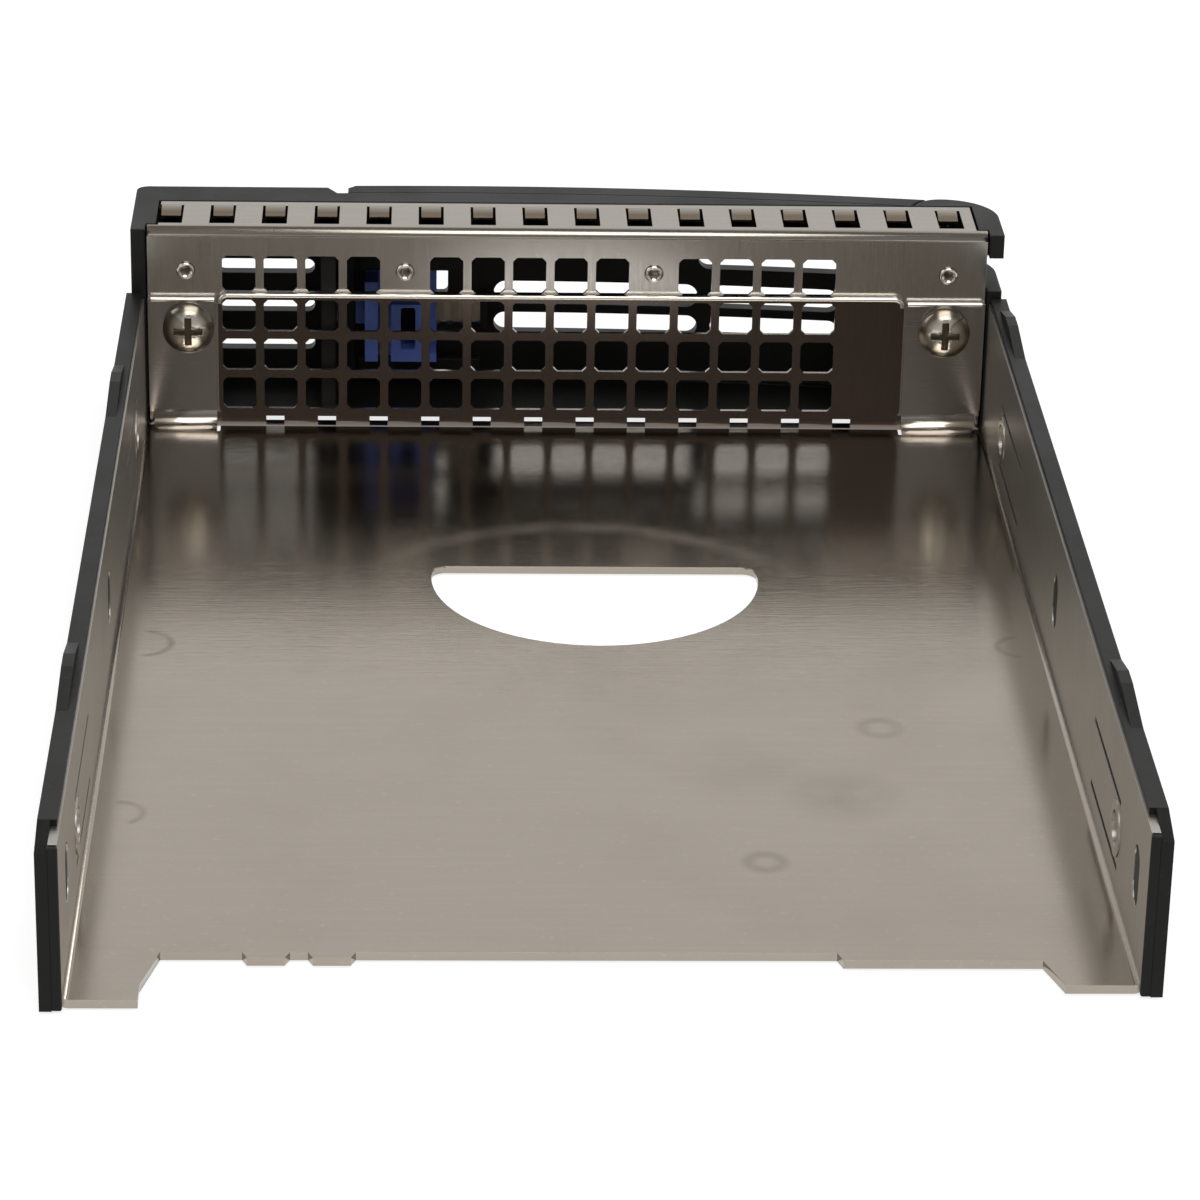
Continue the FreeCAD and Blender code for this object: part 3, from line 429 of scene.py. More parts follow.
@dataclass(frozen=True)
class Limit:
    """One side of a zone: a level that the zone lies below or above, in millimetres from the datum."""

    axis: Axis
    level: float
    softness: float
    below: bool

    def mask(self, w: Weave, where: Link) -> Link:
        """1 up to the level, falling to 0 over the softness past it.

        Args:
            w: Writer of the material's tree.
            where: Object coordinates.

        Returns:
            Socket with the mask.
        """
        along = self.axis is Axis.ALONG
        level = place(0.0, self.level, 0.0).y if along else place(0.0, 0.0, self.level).z
        faded = level + self.softness * MM * (1.0 if self.below else -1.0)
        return w.span(w.part(where, self.axis.value), faded, level)


@dataclass(frozen=True)
class Zone:
    """Part of a node with its colour tinted lighter or darker, as painted light and shade: all that lies
    inside its limits.
    """

    limits: tuple[Limit, ...]
    tint: Colour
    spare_lit_tops: bool = False

    # Faces that look up can be spared the tint, so that they stay bright as if lit from above. Upward part
    # of a face's normal at which it is spared fully, and not at all.
    SPARED = (0.75, 0.35)

    def mask(self, w: Weave, where: Link) -> Link:
        """Product of the limits' masks, without the faces that look up if those are spared as lit tops.

        Args:
            w: Writer of the material's tree.
            where: Object coordinates.

        Returns:
            Socket with the mask.
        """
        inside = self.limits[0].mask(w, where)
        for limit in self.limits[1:]:
            inside = w.maths("MULTIPLY", inside, limit.mask(w, where))
        if not self.spare_lit_tops:
            return inside
        upward = w.part(w.coords("Normal"), "Z")
        return w.maths("MULTIPLY", inside, w.span(upward, *self.SPARED))


def start_material(name: str) -> tuple[bpy.types.Material, Weave, bpy.types.Node]:
    """New node material.

    Args:
        name: Name of the material.

    Returns:
        The material, a writer for its tree and its Principled shader.
    """
    material = bpy.data.materials.new(name)
    material.use_nodes = True
    return material, Weave(material.node_tree), material.node_tree.nodes["Principled BSDF"]


@dataclass(frozen=True)
class Finish:
    """Look that pieces can share."""

    name: str

    def build(self, effects: Effects) -> bpy.types.Material:
        """Material of this finish.

        Args:
            effects: Groups shared by the finishes.

        Returns:
            The new material.
        """
        raise NotImplementedError


@dataclass(frozen=True)
class SheetSteel(Finish):
    """Rolled steel with grain, cloudy handling marks, rubbed places, painted light on the walls and zones
    of painted light and shade.
    """

    colour: Colour
    tone: Colour
    roughness: float
    grain: Grain
    relief: float = 0.25
    contrast: float = 0.5
    pale_marks: tuple[RubMark, ...] = ()
    dark_marks: tuple[RubMark, ...] = ()
    zones: tuple[Zone, ...] = ()
    wall_face: Optional[float] = None
    wall_haze: float = 0.0
    wall_painted_light: Colour = (1.0, 1.0, 1.0)

    # Levels of the broad bands over which the colour changes, and of the lines for the roughness.
    BAND_LEVELS = (0.3, 0.7)
    LINE_LEVELS = (0.25, 0.75)
    # Spread of the roughness over the lines, per unit of contrast, and height of the lines in metres.
    LINE_SPREAD = 0.4
    LINE_HEIGHT = 0.00002
    # Share of the tone in clouds and what they add to the roughness; share and brightness of specks.
    CLOUD_SHARE = 0.3
    CLOUD_HAZE = 0.05
    SPECK_SHARE = 0.35
    SPECK_GAIN = 1.25
    # Brightness and added roughness of rubbed places, and the noise that breaks them up.
    PALE_RUB = (1.35, 0.2)
    DARK_RUB = (0.6, 0.12)
    RUB_SCALE = 260.0
    RUB_BREAKS = (0.2, 0.55, 0.4, 1.0)
    # Share of the distance to the walls' inner faces at which their look starts to fade in.
    WALL_START = 0.995

    def build(self, effects: Effects) -> bpy.types.Material:
        """Material of this finish.

        Args:
            effects: Groups shared by the finishes.

        Returns:
            The new material.
        """
        material, w, shader = start_material(self.name)
        where = w.coords()
        wall = self._walls(w, where)
        grain = w.node("Group", node_tree=effects.grain)
        w.feed(grain.inputs["Stretch"], self._lines(w, wall))
        lines = grain.outputs["Lines"]
        marks = w.node("Group", node_tree=effects.scuffs)
        clouds, specks = marks.outputs["Clouds"], marks.outputs["Specks"]
        streak = w.span(grain.outputs["Bands"], *self.BAND_LEVELS, 0.0, self.contrast)
        colour = w.blend(streak, self.colour, self.tone)
        colour = w.blend(w.maths("MULTIPLY", clouds, self.CLOUD_SHARE), colour, self.tone)
        bright = scaled(self.colour, self.SPECK_GAIN)
        colour = w.blend(w.maths("MULTIPLY", specks, self.SPECK_SHARE), colour, bright)
        spread = self.contrast * self.LINE_SPREAD
        smoothest, roughest = self.roughness * (1 - spread), self.roughness * (1 + spread)
        rough = w.span(lines, *self.LINE_LEVELS, smoothest, roughest)
        rough = w.maths("ADD", rough, w.maths("MULTIPLY", clouds, self.CLOUD_HAZE))
        for group, (gain, haze) in ((self.pale_marks, self.PALE_RUB), (self.dark_marks, self.DARK_RUB)):
            for mark in group:
                broken = w.span(w.noise(where, self.RUB_SCALE), *self.RUB_BREAKS)
                rub = w.maths("MULTIPLY", mark.mask(w, where), broken)
                colour = w.blend(rub, colour, scaled(self.tone, gain))
                rough = w.maths("ADD", rough, w.maths("MULTIPLY", rub, haze))
        # Painted light on the walls: their colour is lightened by the wall tint.
        if wall is not None:
            rough = w.maths("ADD", rough, w.maths("MULTIPLY", wall, self.wall_haze))
            colour = w.tint(wall, colour, self.wall_painted_light)
        # Each zone tints the colour lighter or darker: painted light and shade.
        for zone in self.zones:
            colour = w.tint(zone.mask(w, where), colour, zone.tint)
        w.feed(shader.inputs["Base Color"], colour)
        w.feed(shader.inputs["Roughness"], rough)
        shader.inputs["Metallic"].default_value = 1.0
        bump = w.bump(lines, self.relief, self.LINE_HEIGHT)
        w.feed(shader.inputs["Normal"], bump.outputs["Normal"])
        return material

    def _walls(self, w: Weave, where: Link) -> Optional[Link]:
        """1 past the walls' inner faces and 0 between them, if the sheet has walls.

        Args:
            w: Writer of the material's tree.
            where: Object coordinates.

        Returns:
            Socket with the mask, or nothing.
        """
        if self.wall_face is None:
            return None
        face = self.wall_face * MM
        return w.span(w.maths("ABSOLUTE", w.part(where, "X")), face * self.WALL_START, face)

    def _lines(self, w: Weave, wall: Optional[Link]) -> Value:
        """Way the rolling lines run: turned upright on the walls.

        Args:
            w: Writer of the material's tree.
            wall: Mask of the walls, if the sheet has them.

        Returns:
            Stretch of the grain, a plain vector or a socket.
        """
        if wall is None:
            return self.grain.value
        return w.mix(Mix.VECTOR, wall, self.grain.value, Grain.UPRIGHT.value)


@dataclass(frozen=True)
class MouldedPlastic(Finish):
    """Moulded plastic: fine mould texture, cloudy sheen, pale scuffs and softened edges."""

    colour: Colour
    scuff: Colour
    roughness: float
    scuffing: float = 0.15
    shine: float = 0.22
    soft_edge: float = 0.0

    # Size of the clouds, their own share of the scuffing and what they add to the roughness.
    CLOUD_SIZE = 90.0
    CLOUD_SHARE = 0.2
    CLOUD_HAZE = 0.1
    # Strength and height, in metres, of the mould texture.
    SKIN_STRENGTH = 0.12
    SKIN_HEIGHT = 0.00003
    # Rays that look for a nearby edge.
    EDGE_SAMPLES = 6

    def build(self, effects: Effects) -> bpy.types.Material:
        """Material of this finish.

        Args:
            effects: Groups shared by the finishes.

        Returns:
            The new material.
        """
        material, w, shader = start_material(self.name)
        marks = w.node("Group", node_tree=effects.scuffs)
        marks.inputs["Size"].default_value = self.CLOUD_SIZE
        clouds, specks = marks.outputs["Clouds"], marks.outputs["Specks"]
        broken = w.maths("MULTIPLY", w.maths("MULTIPLY", clouds, specks), self.scuffing)
        even = w.maths("MULTIPLY", clouds, self.scuffing * self.CLOUD_SHARE)
        worn = w.maths("ADD", broken, even)
        w.feed(shader.inputs["Base Color"], w.blend(worn, self.colour, self.scuff))
        rough = w.span(clouds, 0.0, 1.0, self.roughness, self.roughness + self.CLOUD_HAZE)
        w.feed(shader.inputs["Roughness"], rough)
        shader.inputs["Specular IOR Level"].default_value = self.shine
        skin = w.node("Group", node_tree=effects.moulding)
        bump = w.bump(skin.outputs["Height"], self.SKIN_STRENGTH, self.SKIN_HEIGHT)
        if self.soft_edge > 0.0:
            edge = w.node("Bevel", samples=self.EDGE_SAMPLES)
            edge.inputs["Radius"].default_value = self.soft_edge * MM
            w.feed(bump.inputs["Normal"], edge.outputs["Normal"])
        w.feed(shader.inputs["Normal"], bump.outputs["Normal"])
        return material


Materials = dict[str, bpy.types.Material]


def round_edges(target: bpy.types.Object, width: float) -> None:
    """Round the sharp edges of a CAD node or a new piece.

    Args:
        target: Object to round.
        width: Width of the rounding, in millimetres.
    """
    bevel = target.modifiers.new("round", "BEVEL")
    bevel.width = width * MM
    bevel.segments = 2
    bevel.limit_method = "ANGLE"
    bevel.angle_limit = ROUND_ANGLE
    bevel.harden_normals = True


def dress(looks: dict[str, Finish], effects: Effects) -> Materials:
    """Give every CAD node its material, and the nodes listed in ROUNDING a small rounding along their sharp
    edges.

    Args:
        looks: Finish of each CAD node.
        effects: Groups shared by the finishes.

    Returns:
        The materials by name.
    """
    built: Materials = {}
    for node, finish in looks.items():
        if finish.name not in built:
            built[finish.name] = finish.build(effects)
        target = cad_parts[node]
        target.data.materials.clear()
        target.data.materials.append(built[finish.name])
        if node in ROUNDING:
            weld = target.modifiers.new("join", "WELD")
            weld.merge_threshold = JOIN_WITHIN
            round_edges(target, ROUNDING[node])
        LOG.info("dressed %s in %s", node, finish.name)
    return built


@dataclass(frozen=True)
class Piece:
    """Piece that rides on one of the part's bodies.

    Sizes and places of every piece are in millimetres from the tray's datum.
    """

    name: str
    body: str
    slot: str
    finish: str

    def build(self, materials: Materials) -> bpy.types.Object:
        """Make the piece.

        Args:
            materials: Materials by name.

        Returns:
            The new piece, riding on its body.
        """
        raise NotImplementedError

    def add(self, points: np.ndarray, faces: list[list[int]], materials: Materials) -> bpy.types.Object:
        """Put the piece's mesh into the scene.

        Args:
            points: Corners, one row each.
            faces: Numbers of each face's corners.
            materials: Materials by name.

        Returns:
            The new piece, riding on its body.
        """
        mesh = bpy.data.meshes.new(self.name)
        mesh.from_pydata(((points + DATUM) * MM).tolist(), [], faces)
        mesh.materials.append(materials[self.finish])
        piece = bpy.data.objects.new(self.name, mesh)
        bpy.context.scene.collection.objects.link(piece)
        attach(piece, self.body)
        LOG.info("made %s on %s", self.name, self.body)
        return piece


def shade_round(mesh: bpy.types.Mesh) -> None:
    """Shade a mesh smooth, up to its sharp edges."""
    mesh.shade_smooth()
    mesh.set_sharp_from_angle(angle=SHARP_ANGLE)


def ring_walls(rings: int, sides: int) -> np.ndarray:
    """Faces between rings of corners that follow one another.

    Args:
        rings: Number of rings.
        sides: Number of corners on each.

    Returns:
        Four corners of each face, one row each.
    """
    here = np.arange(sides)
    after = np.roll(here, -1)
    first = np.arange(rings - 1)[:, None] * sides
    corners = [first + here, first + sides + here, first + sides + after, first + after]
    return np.stack(corners, axis=-1).reshape(-1, 4)


@dataclass(frozen=True)
class Moulding(Piece):
    """Small moulded feature: a plan outline carried straight up, with its edges rounded."""

    foot: float
    top: float
    edge: float

    def outline(self) -> np.ndarray:
        """Points of the plan, one row each, anticlockwise seen from above."""
        raise NotImplementedError

    def build(self, materials: Materials) -> bpy.types.Object:
        """Make the piece: the outline repeated at foot and top, walls between and a cap at each end.

        Args:
            materials: Materials by name.

        Returns:
            The new piece, riding on its body.
        """
        plan = self.outline()
        count = len(plan)
        points = np.column_stack([np.tile(plan, (2, 1)), np.repeat([self.foot, self.top], count)])
        here = np.arange(count)
        after = np.roll(here, -1)
        walls = np.column_stack([here, after, after + count, here + count])
        caps = [here[::-1].tolist(), (here + count).tolist()]
        piece = self.add(points, walls.tolist() + caps, materials)
        round_edges(piece, self.edge)
        return piece


@dataclass(frozen=True)
class Strip(Moulding):
    """Upright strip with a rectangular plan."""

    left: float
    right: float
    near: float
    far: float

    def outline(self) -> np.ndarray:
        """Four corners."""
        return np.array([
            (self.left, self.near), (self.right, self.near), (self.right, self.far), (self.left, self.far),
        ])


@dataclass(frozen=True)
class HandleHeel(Moulding):
    """Pivot end of the handle: its bowed front carried on until it meets a hollow about the pin."""

    start: float
    back: float
    bow_radius: float = 400.0
    bow_centre: tuple[float, float] = (-11.5, -382.7)
    pin: tuple[float, float] = (46.0, 9.9)
    hollow_radius: float = 4.0

    # Arc of the hollow in degrees, points tried along it, and one in how many of them is used.
    HOLLOW_ARC = (170.0, 100.0)
    HOLLOW_TRIES = 141
    HOLLOW_STRIDE = 8
    BOW_POINTS = 8

    def _front(self, across: np.ndarray) -> np.ndarray:
        """Bowed front at a place across the tray: a circle of the bow's radius about its centre."""
        x, y = self.bow_centre
        return y + np.sqrt(self.bow_radius ** 2 - (across - x) ** 2)

    def outline(self) -> np.ndarray:
        """End face, hollow about the pin up to the bow, and the bow back to the end face.

        Returns:
            Points of the plan, one row each, anticlockwise seen from above.
        """
        turn = np.radians(np.linspace(*self.HOLLOW_ARC, self.HOLLOW_TRIES))
        circle = np.column_stack([np.cos(turn), np.sin(turn)])
        hollow = np.array(self.pin) + self.hollow_radius * circle
        inside = (hollow[:, 1] >= self.back) & (hollow[:, 1] <= self._front(hollow[:, 0]))
        hollow = hollow[inside][::self.HOLLOW_STRIDE]
        across = np.linspace(hollow[-1, 0], self.start, self.BOW_POINTS)
        bow = np.column_stack([across, self._front(across)])
        return np.vstack([[(self.start, self.back)], hollow, bow])


def mouldings() -> list[Moulding]:
    """Small features of the black mouldings that close the gaps between them.

    A lip behind the handle's free end, the handle's heel at its pivot, and the rails' rear ends, which
    wrap over the edges of the steel walls.

    Returns:
        The features, ready to build.
    """
    edge = 0.2
    inward, outward, thickness = 0.05, 0.1, 0.65
    lip = Strip("block_lip", "frame", "black_plastic", "bezel_plastic", foot=0.8, top=22.0, edge=edge,
                left=-28.0, right=-25.8, near=12.2, far=13.3)
    heel = HandleHeel("handle_heel", "handle", "black_plastic", "bezel_plastic", foot=-0.6, top=24.9,
                      edge=edge, start=42.1, back=11.1)
    ends = []
    for rail, way in (("left_rail", -1), ("right_rail", 1)):
        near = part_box(rail)[0].y / MM - DATUM[1]
        low, high = sorted((way * (WALL_FACE - inward), way * (WALL_FACE + SHEET + outward)))
        ends.append(Strip(f"{rail}_end", "frame", "rail_plastic", "rail_plastic", foot=-SHEET, top=16.2,
                          edge=edge, left=low, right=high, near=near, far=near + thickness))
    return [lip, heel, *ends]


@dataclass(frozen=True)
class RivetHeads(Piece):
    """Rivets that hold the shield to the bezel: each a raised ring about a flat floor, on a plain shank.

    The profile holds radius and place along the tray, from the middle of the floor over the ring and
    down the shank to its end.
    """

    across: tuple[float, ...] = (-46.0, -19.64, 10.36, 46.0)
    level: float = 19.6
    sides: int = 32
    profile: tuple[tuple[float, float], ...] = (
        (0.0, 0.76), (0.42, 0.76), (0.54, 0.73), (0.66, 0.6), (0.76, 0.52), (0.86, 0.5), (0.96, 0.54),
        (1.06, 0.66), (1.15, 0.9), (0.75, 0.9), (0.75, 2.0), (0.0, 2.0),
    )

    def build(self, materials: Materials) -> bpy.types.Object:
        """Make the rivets: the profile turned about each rivet's axis, its ends closed in a pole each.

        Args:
            materials: Materials by name.

        Returns:
            The new piece, in place of the plain rivets.
        """
        turn = np.linspace(0.0, FULL_TURN, self.sides, endpoint=False)
        radius, depth = np.array(self.profile[1:-1]).T
        x = radius[:, None] * np.cos(turn)
        z = radius[:, None] * np.sin(turn)
        rings = np.stack([x, np.broadcast_to(depth[:, None], x.shape), z], axis=-1).reshape(-1, 3)
        poles = np.array([(0.0, self.profile[0][1], 0.0), (0.0, self.profile[-1][1], 0.0)])
        one = np.vstack([rings, poles])
        here = np.arange(self.sides)
        after = np.roll(here, -1)
        last = len(rings) - self.sides
        walls = ring_walls(len(radius), self.sides)
        front = np.stack([here, after, np.full(self.sides, len(rings))], axis=-1)
        back = np.stack([last + after, last + here, np.full(self.sides, len(rings) + 1)], axis=-1)
        sites = np.array([(site, 0.0, self.level) for site in self.across])
        points = (one + sites[:, None, :]).reshape(-1, 3)
        shift = np.arange(len(sites))[:, None, None] * len(one)
        faces = [
            face for group in (walls, front, back)
            for face in (group + shift).reshape(-1, group.shape[1]).tolist()
        ]
        piece = self.add(points, faces, materials)
        shade_round(piece.data)
        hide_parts("shield_rivets")
        return piece


@dataclass(frozen=True)
class EdgeBead(Piece):
    """Rolled top edge of an upright sheet: a round profile carried along it, a little proud of it."""

    left: float
    right: float
    top: float
    corner: float = 0.0
    radius: float = 0.3
    inset: float = 0.2
    sides: int = 16
    corner_points: int = 9

    def path(self) -> np.ndarray:
        """Line along the edge: straight, with a quarter circle down at each round corner.

        Returns:
            Points across and up, one row each.
        """
        left, right, top = self.left + self.inset, self.right - self.inset, self.top - self.inset
        bend = self.corner - self.inset
        if bend <= 0.0:
            return np.array([(left, top), (right, top)])
        turn = np.linspace(0.0, QUARTER_TURN, self.corner_points)
        rise = np.column_stack([left + bend - bend * np.cos(turn), top - bend + bend * np.sin(turn)])
        fall = rise[::-1] * (-1.0, 1.0) + (left + right, 0.0)
        return np.vstack([rise, fall])

    def build(self, materials: Materials) -> bpy.types.Object:
        """Make the bead: circles set square to the path, walls between them and a cap at each end.

        Args:
            materials: Materials by name.

        Returns:
            The new piece, riding on its body.
        """
        line = self.path()
        ahead = np.gradient(line, axis=0)
        ahead /= np.linalg.norm(ahead, axis=1, keepdims=True)
        level = np.zeros(len(line))
        centre = np.column_stack([line[:, 0], level + self.inset, line[:, 1]])
        out = np.column_stack([-ahead[:, 1], level, ahead[:, 0]])
        turn = np.linspace(0.0, FULL_TURN, self.sides, endpoint=False)[None, :, None]
        circle = np.cos(turn) * out[:, None, :] + np.sin(turn) * np.array([0.0, 1.0, 0.0])
        points = (centre[:, None, :] + self.radius * circle).reshape(-1, 3)
        here = np.arange(self.sides)
        caps = [here.tolist(), (len(points) - self.sides + here[::-1]).tolist()]
        piece = self.add(points, ring_walls(len(line), self.sides).tolist() + caps, materials)
        shade_round(piece.data)
        return piece


def edges() -> list[EdgeBead]:
    """Rolled edges along the top of the shield's panel and of the pan's two ears, in a lighter steel that
    paints a highlight along them.

    Returns:
        The edges, ready to build.
    """
    ear_top, ear_end = 16.3, 50.4
    panel = EdgeBead("panel_edge", "frame", "shield_steel", "edge_highlight_steel", left=-42.15, right=40.75,
                     top=16.9, corner=1.2)
    left_ear = EdgeBead("left_ear_edge", "frame", "pan_steel", "edge_highlight_steel", left=-ear_end, right=-42.4,
                        top=ear_top)
    right_ear = EdgeBead("right_ear_edge", "frame", "pan_steel", "edge_highlight_steel", left=41.0, right=ear_end,
                         top=ear_top)
    return [panel, left_ear, right_ear]


@dataclass(frozen=True)
class Viewpoint:
    """Camera that took the photograph: its stand in millimetres from the datum, and turns in degrees."""

    stand: Point = (-17.463, -532.386, 214.614)
    yaw: float = 2.379
    pitch: float = 24.048
    roll: float = 1.233
    lens: float = 141.0
    sensor: float = 36.0
    clip_start: float = 0.01

    def build(self) -> None:
        """Stand the camera up: its axes are the rows of roll times pitch times yaw."""
        y, p, r = (math.radians(a) for a in (self.yaw, self.pitch, self.roll))
        turn = np.array([[math.cos(y), -math.sin(y), 0], [math.sin(y), math.cos(y), 0], [0, 0, 1]])
        level = np.array([[1, 0, 0], [0, 0, -1], [0, 1, 0]])
        tip = np.array([[1, 0, 0], [0, math.cos(p), -math.sin(p)], [0, math.sin(p), math.cos(p)]])
        lean = np.array([[math.cos(r), -math.sin(r), 0], [math.sin(r), math.cos(r), 0], [0, 0, 1]])
        right, down, ahead = lean @ tip @ level @ turn
        data = bpy.data.cameras.new("camera")
        data.lens = self.lens
        data.sensor_width = self.sensor
        data.clip_start = self.clip_start
        camera = bpy.data.objects.new("camera", data)
        axes = Matrix(np.stack([right, -down, -ahead], axis=1).tolist()).to_4x4()
        camera.matrix_world = Matrix.Translation(place(*self.stand)) @ axes
        bpy.context.scene.collection.objects.link(camera)
        bpy.context.scene.camera = camera


@dataclass(frozen=True)
class Lamp:
    """Square soft lamp that points at the middle of the scene; sizes in metres, power in watts."""

    name: str
    stand: Point
    size: float
    power: float

    def build(self) -> None:
        """Put the lamp into the scene."""
        data = bpy.data.lights.new(self.name, "AREA")
        data.size = self.size
        data.energy = self.power
        lamp = bpy.data.objects.new(self.name, data)
        stand = Vector(self.stand)
        turn = (-stand).to_track_quat("-Z", "Y").to_matrix().to_4x4()
        lamp.matrix_world = Matrix.Translation(stand) @ turn
        bpy.context.scene.collection.objects.link(lamp)


@dataclass(frozen=True)
class Studio:
    """White floor that sweeps up behind the tray, an even room and soft overhead light.

    Sizes are in metres. The floor lies a hair below the tray, so that the two never share a face.
    """

    reach: float = 3.0
    wall: float = 2.0
    bend: float = 0.6
    bend_points: int = 24
    drop: float = 0.0003
    paper: float = 0.36
    paper_roughness: float = 0.9
    glow: float = 0.8
    lamps: tuple[Lamp, ...] = (
        Lamp("overhead", (0.1, -0.8, 1.3), size=1.0, power=14.0),
        Lamp("window", (-1.4, -0.2, 1.0), size=0.9, power=4.0),
        Lamp("front", (1.3, 1.0, 1.4), size=0.8, power=7.0),
    )

    # The room's light over height, from the walls to a dim ceiling, and over depth, from near to far.
    WALLS_TO_CEILING = (0.5, 0.75, 0.74, 0.28)
    NEAR_TO_FAR = (-0.5, 0.3, 0.45, 1.0)
    WARM_WHITE = (1.0, 0.985, 0.96)

    def build(self) -> None:
        """Make the sweep, the room and the lamps."""
        self._sweep()
        self._room()
        for lamp in self.lamps:
            lamp.build()

    def _sweep(self) -> None:
        """Sheet carried along a path: flat floor, quarter bend, upright wall. Its underside is clear."""
        turn = np.linspace(0.0, QUARTER_TURN, self.bend_points)
        y = np.concatenate([[-self.reach], self.wall - self.bend + self.bend * np.sin(turn), [self.wall]])
        z = np.concatenate([[0.0], self.bend - self.bend * np.cos(turn), [self.reach]]) - self.drop
        x = np.array([-self.reach, self.reach])
        grid = np.stack(np.broadcast_arrays(x[None, :], y[:, None], z[:, None]), axis=-1).reshape(-1, 3)
        row = np.arange(len(y) - 1)[:, None] * 2
        faces = (row + np.array([[0, 1, 3, 2]])).tolist()
        mesh = bpy.data.meshes.new("sweep")
        mesh.from_pydata(grid.tolist(), [], faces)
        mesh.shade_smooth()
        mesh.materials.append(self._paper())
        sweep = bpy.data.objects.new("sweep", mesh)
        bpy.context.scene.collection.objects.link(sweep)

    def _paper(self) -> bpy.types.Material:
        """Matt paper that glows as a background and is clear from behind.

        Returns:
            The new material.
        """
        material, w, shader = start_material("sweep_paper")
        shader.inputs["Base Color"].default_value = (self.paper, self.paper, self.paper, 1.0)
        shader.inputs["Roughness"].default_value = self.paper_roughness
        shader.inputs["Specular IOR Level"].default_value = 0.0
        shader.inputs["Emission Color"].default_value = (1.0, 1.0, 1.0, 1.0)
        w.feed(shader.inputs["Emission Strength"], w.maths("MULTIPLY", self._seen(w), self.glow))
        sheet = w.node("MixShader")
        w.feed(sheet.inputs[0], w.node("NewGeometry").outputs["Backfacing"])
        w.feed(sheet.inputs[1], shader.outputs["BSDF"])
        w.feed(sheet.inputs[2], w.node("BsdfTransparent").outputs["BSDF"])
        w.feed(material.node_tree.nodes["Material Output"].inputs["Surface"], sheet.outputs[0])
        return material

    @staticmethod
    def _seen(w: Weave) -> Link:
        """1 for rays that show the background: camera, mirror and clear ones.

        Args:
            w: Writer of the material's tree.

        Returns:
            Socket with the mask.
        """
        path = w.node("LightPath")
        seen = w.maths("MAXIMUM", path.outputs["Is Camera Ray"], path.outputs["Is Glossy Ray"])
        return w.maths("MAXIMUM", seen, path.outputs["Is Transmission Ray"])

    def _room(self) -> None:
        """World: white to the camera, and for the rest a lit far side, a dim near one and a dim ceiling."""
        world = bpy.data.worlds.new("room")
        bpy.context.scene.world = world
        world.use_nodes = True
        w = Weave(world.node_tree)
        background = world.node_tree.nodes["Background"]
        way = w.coords("Generated")
        height = w.span(w.part(way, "Z"), *self.WALLS_TO_CEILING)
        depth = w.span(w.part(way, "Y"), *self.NEAR_TO_FAR)
        room = w.maths("MULTIPLY", height, depth)
        direct = w.node("LightPath").outputs["Is Camera Ray"]
        w.feed(background.inputs["Strength"], w.maths("MAXIMUM", room, direct))
        background.inputs["Color"].default_value = opaque(self.WARM_WHITE)


def pan_finish() -> SheetSteel:
    """Steel of the pan: rubbed floor, painted light on the ears, and walls with upright lines and painted
    light.

    Returns:
        The finish.
    """
    lid_ring = RubMark(0.0, -58.9, radius=27.8, width=2.4, strength=0.5, facing=(0.0, 1.0), start=0.55)
    spots = (
        RubMark(31.1, -84.8, radius=1.9, width=1.1, strength=0.35),
        RubMark(16.9, -115.8, radius=1.7, width=1.1, strength=0.4),
        RubMark(26.0, -101.0, radius=0.0, width=7.0, strength=0.35),
        RubMark(17.0, -95.0, radius=0.0, width=9.0, strength=0.15),
        RubMark(-48.0, -64.0, radius=3.2, width=0.6, strength=0.5, facing=(1.0, 0.0)),
        RubMark(-48.0, -105.3, radius=2.4, width=0.6, strength=0.45, facing=(1.0, 0.3)),
        RubMark(48.5, -64.0, radius=2.6, width=0.6, strength=0.4, facing=(-1.0, 0.0)),
    )
    # Painted light: the ears' colour is lightened and cooled, as if they caught more light than the floor.
    ears = Zone((Limit(Axis.ALONG, -0.05, softness=0.1, below=False),), tint=(1.35, 1.42, 1.65))
    # The wall tint paints light on the walls, lightening and cooling their colour.
    return SheetSteel(
        "pan_steel", colour=(0.365, 0.327, 0.277), tone=(0.302, 0.266, 0.22), roughness=0.14,
        grain=Grain.ACROSS, relief=0.6, contrast=0.22, pale_marks=(lid_ring,), dark_marks=spots,
        zones=(ears,), wall_face=WALL_FACE, wall_haze=0.22, wall_painted_light=(1.25, 1.34, 1.46),
    )


def shield_finish() -> SheetSteel:
    """Steel of the shield's plate: painted shade on the raised panel and the hem, standing in for the dark
    room they reflect, with their upward tops spared so they stay bright as if lit from above.

    Returns:
        The finish.
    """
    # Painted shade: the panel and hem are darkened where they face the dark room, with their tops spared.
    painted_shade = (0.27, 0.225, 0.21)
    panel = Zone((Limit(Axis.ALONG, 0.55, softness=0.15, below=True),), painted_shade, spare_lit_tops=True)
    hem_limits = (
        Limit(Axis.UP, 1.3, softness=0.1, below=True),
        Limit(Axis.ALONG, 0.7, softness=0.1, below=False),
    )
    hem = Zone(hem_limits, painted_shade, spare_lit_tops=True)
    return SheetSteel(
        "shield_steel", colour=(0.59, 0.555, 0.51), tone=(0.51, 0.48, 0.44), roughness=0.2,
        grain=Grain.UPRIGHT, relief=0.12, zones=(panel, hem),
    )


def flange_finish() -> SheetSteel:
    """Steel of the shield's top flange, with painted shade on the fingers in its windows, darker lower down
    where they bend in.

    Returns:
        The finish.
    """
    finger_limits = (
        # Painted shade on the fingers, deeper down in the windows.
        Limit(Axis.UP, 24.65, softness=0.25, below=True),
        Limit(Axis.ALONG, 3.0, softness=0.3, below=False),
    )
    fingers = Zone(finger_limits, tint=(0.6, 0.52, 0.44))
    return SheetSteel(
        "flange_steel", colour=(0.345, 0.315, 0.272), tone=(0.3, 0.272, 0.232), roughness=0.2,
        grain=Grain.ACROSS, relief=0.12, zones=(fingers,),
    )


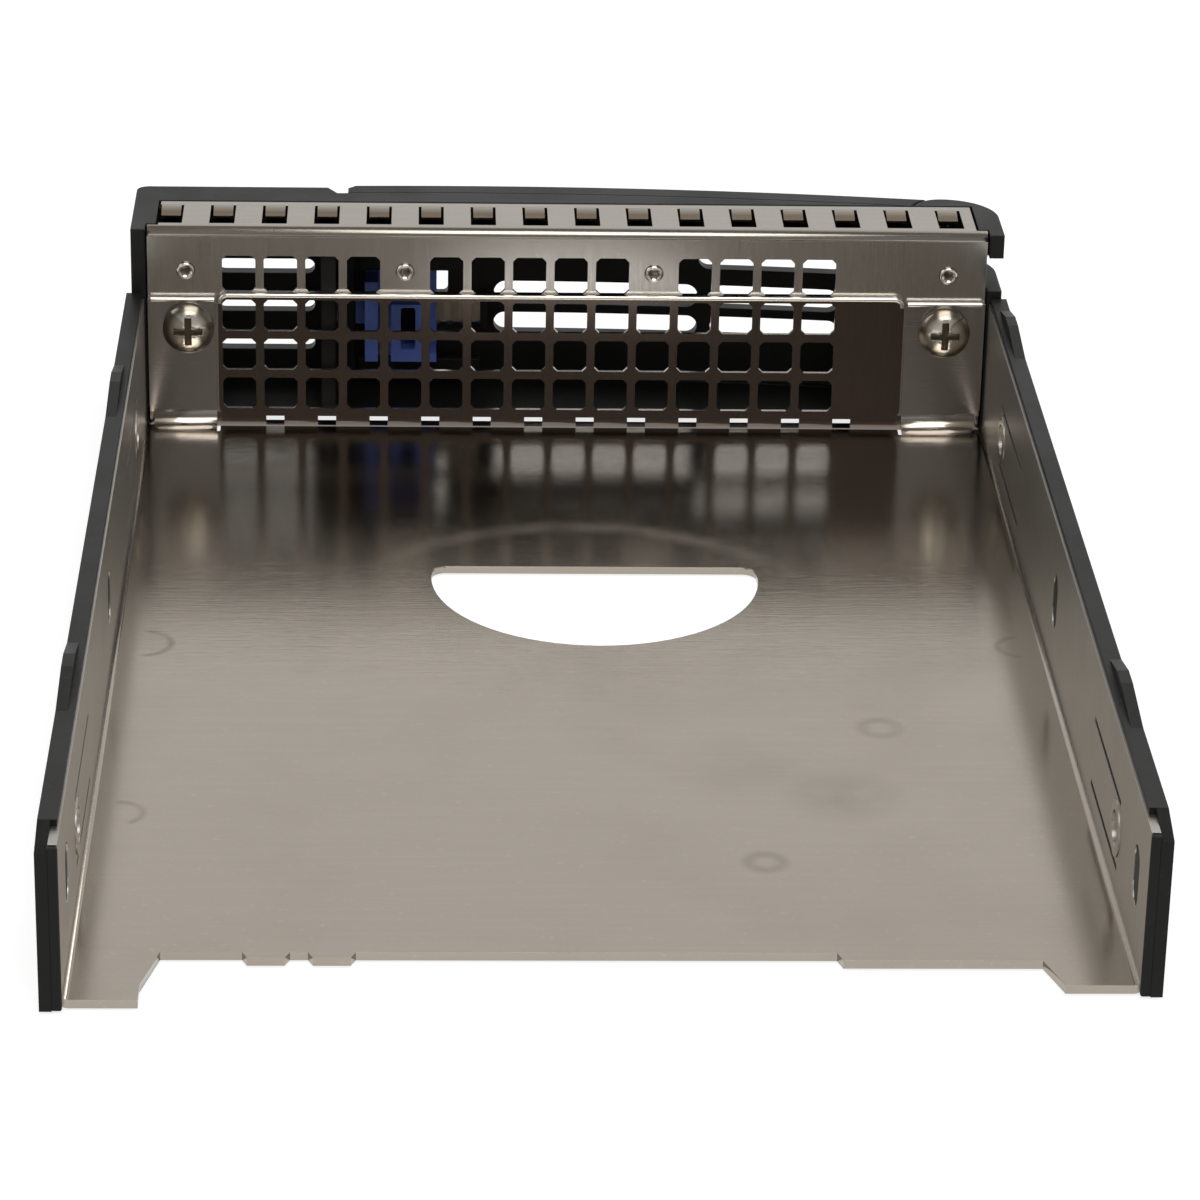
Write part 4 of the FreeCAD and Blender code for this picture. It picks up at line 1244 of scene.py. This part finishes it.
def finishes() -> dict[str, Finish]:
    """Finish of each CAD node.

    Returns:
        The finishes by node.
    """
    # Painted shade in the screws' cross recesses.
    recess_shade = Zone((Limit(Axis.ALONG, -1.3, softness=0.5, below=False),), tint=(0.25, 0.23, 0.2))
    # Painted shade on the floor of each rivet's dish, leaving a bright ring.
    dish_shade = Zone((Limit(Axis.ALONG, 0.68, softness=0.1, below=False),), tint=(0.3, 0.28, 0.26))
    foot = SheetSteel(
        "foot_steel", colour=(0.2, 0.17, 0.15), tone=(0.17, 0.145, 0.125), roughness=0.2,
        grain=Grain.ACROSS, relief=0.12,
    )
    plated = SheetSteel(
        "plated_steel", colour=(0.7, 0.665, 0.6), tone=(0.56, 0.52, 0.46), roughness=0.22,
        grain=Grain.ALONG, relief=0.08,
    )
    rivet = SheetSteel(
        "rivet_steel", colour=(0.8, 0.77, 0.71), tone=(0.66, 0.63, 0.57), roughness=0.2,
        grain=Grain.ALONG, relief=0.08, zones=(dish_shade,),
    )
    screw = SheetSteel(
        "screw_steel", colour=(0.9, 0.85, 0.76), tone=(0.76, 0.71, 0.62), roughness=0.2,
        grain=Grain.ALONG, relief=0.08, zones=(recess_shade,),
    )
    rail = MouldedPlastic(
        "rail_plastic", colour=(0.008, 0.0078, 0.0074), scuff=(0.12, 0.115, 0.105), roughness=0.42,
        scuffing=0.3, shine=0.17,
    )
    black = MouldedPlastic(
        "bezel_plastic", colour=(0.008, 0.0077, 0.0072), scuff=(0.08, 0.078, 0.07), roughness=0.45,
        soft_edge=0.3,
    )
    blue = MouldedPlastic(
        "latch_plastic", colour=(0.11, 0.18, 0.58), scuff=(0.3, 0.38, 0.7), roughness=0.42, shine=0.4,
    )
    return {
        "tray_pan": pan_finish(),
        "emi_shield": shield_finish(),
        "top_flange": flange_finish(),
        "foot_flange": foot,
        "cam_plate": plated,
        "pivot_pin": plated,
        "front_screws": screw,
        "shield_rivets": rivet,
        "latch_spring": plated,
        "left_rail": rail,
        "right_rail": rail,
        "bezel": black,
        "ejector_handle": black,
        "release_latch": blue,
    }


def edge_highlight_finish() -> SheetSteel:
    """Steel of the rolled edges, much lighter than the sheets they roll from: a painted highlight along
    them.
    """
    return SheetSteel(
        "edge_highlight_steel", colour=(0.8, 0.77, 0.72), tone=(0.7, 0.67, 0.62), roughness=0.24,
        grain=Grain.ACROSS, relief=0.08,
    )


def main() -> None:
    """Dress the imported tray, light it and stand the camera where the photograph was taken."""
    logging.basicConfig(level=logging.INFO)
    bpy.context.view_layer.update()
    bpy.context.scene.view_settings.view_transform = "Standard"
    effects = Effects()
    materials = dress(finishes(), effects)
    # A lighter steel for the rolled edges paints a highlight along them.
    edge_highlight_look = edge_highlight_finish()
    materials[edge_highlight_look.name] = edge_highlight_look.build(effects)
    rivets = RivetHeads("rivet_heads", "frame", "fastener_steel", "rivet_steel")
    for piece in (*mouldings(), rivets, *edges()):
        piece.build(materials)
    Studio().build()
    Viewpoint().build()


if __name__ == "__main__":
    main()
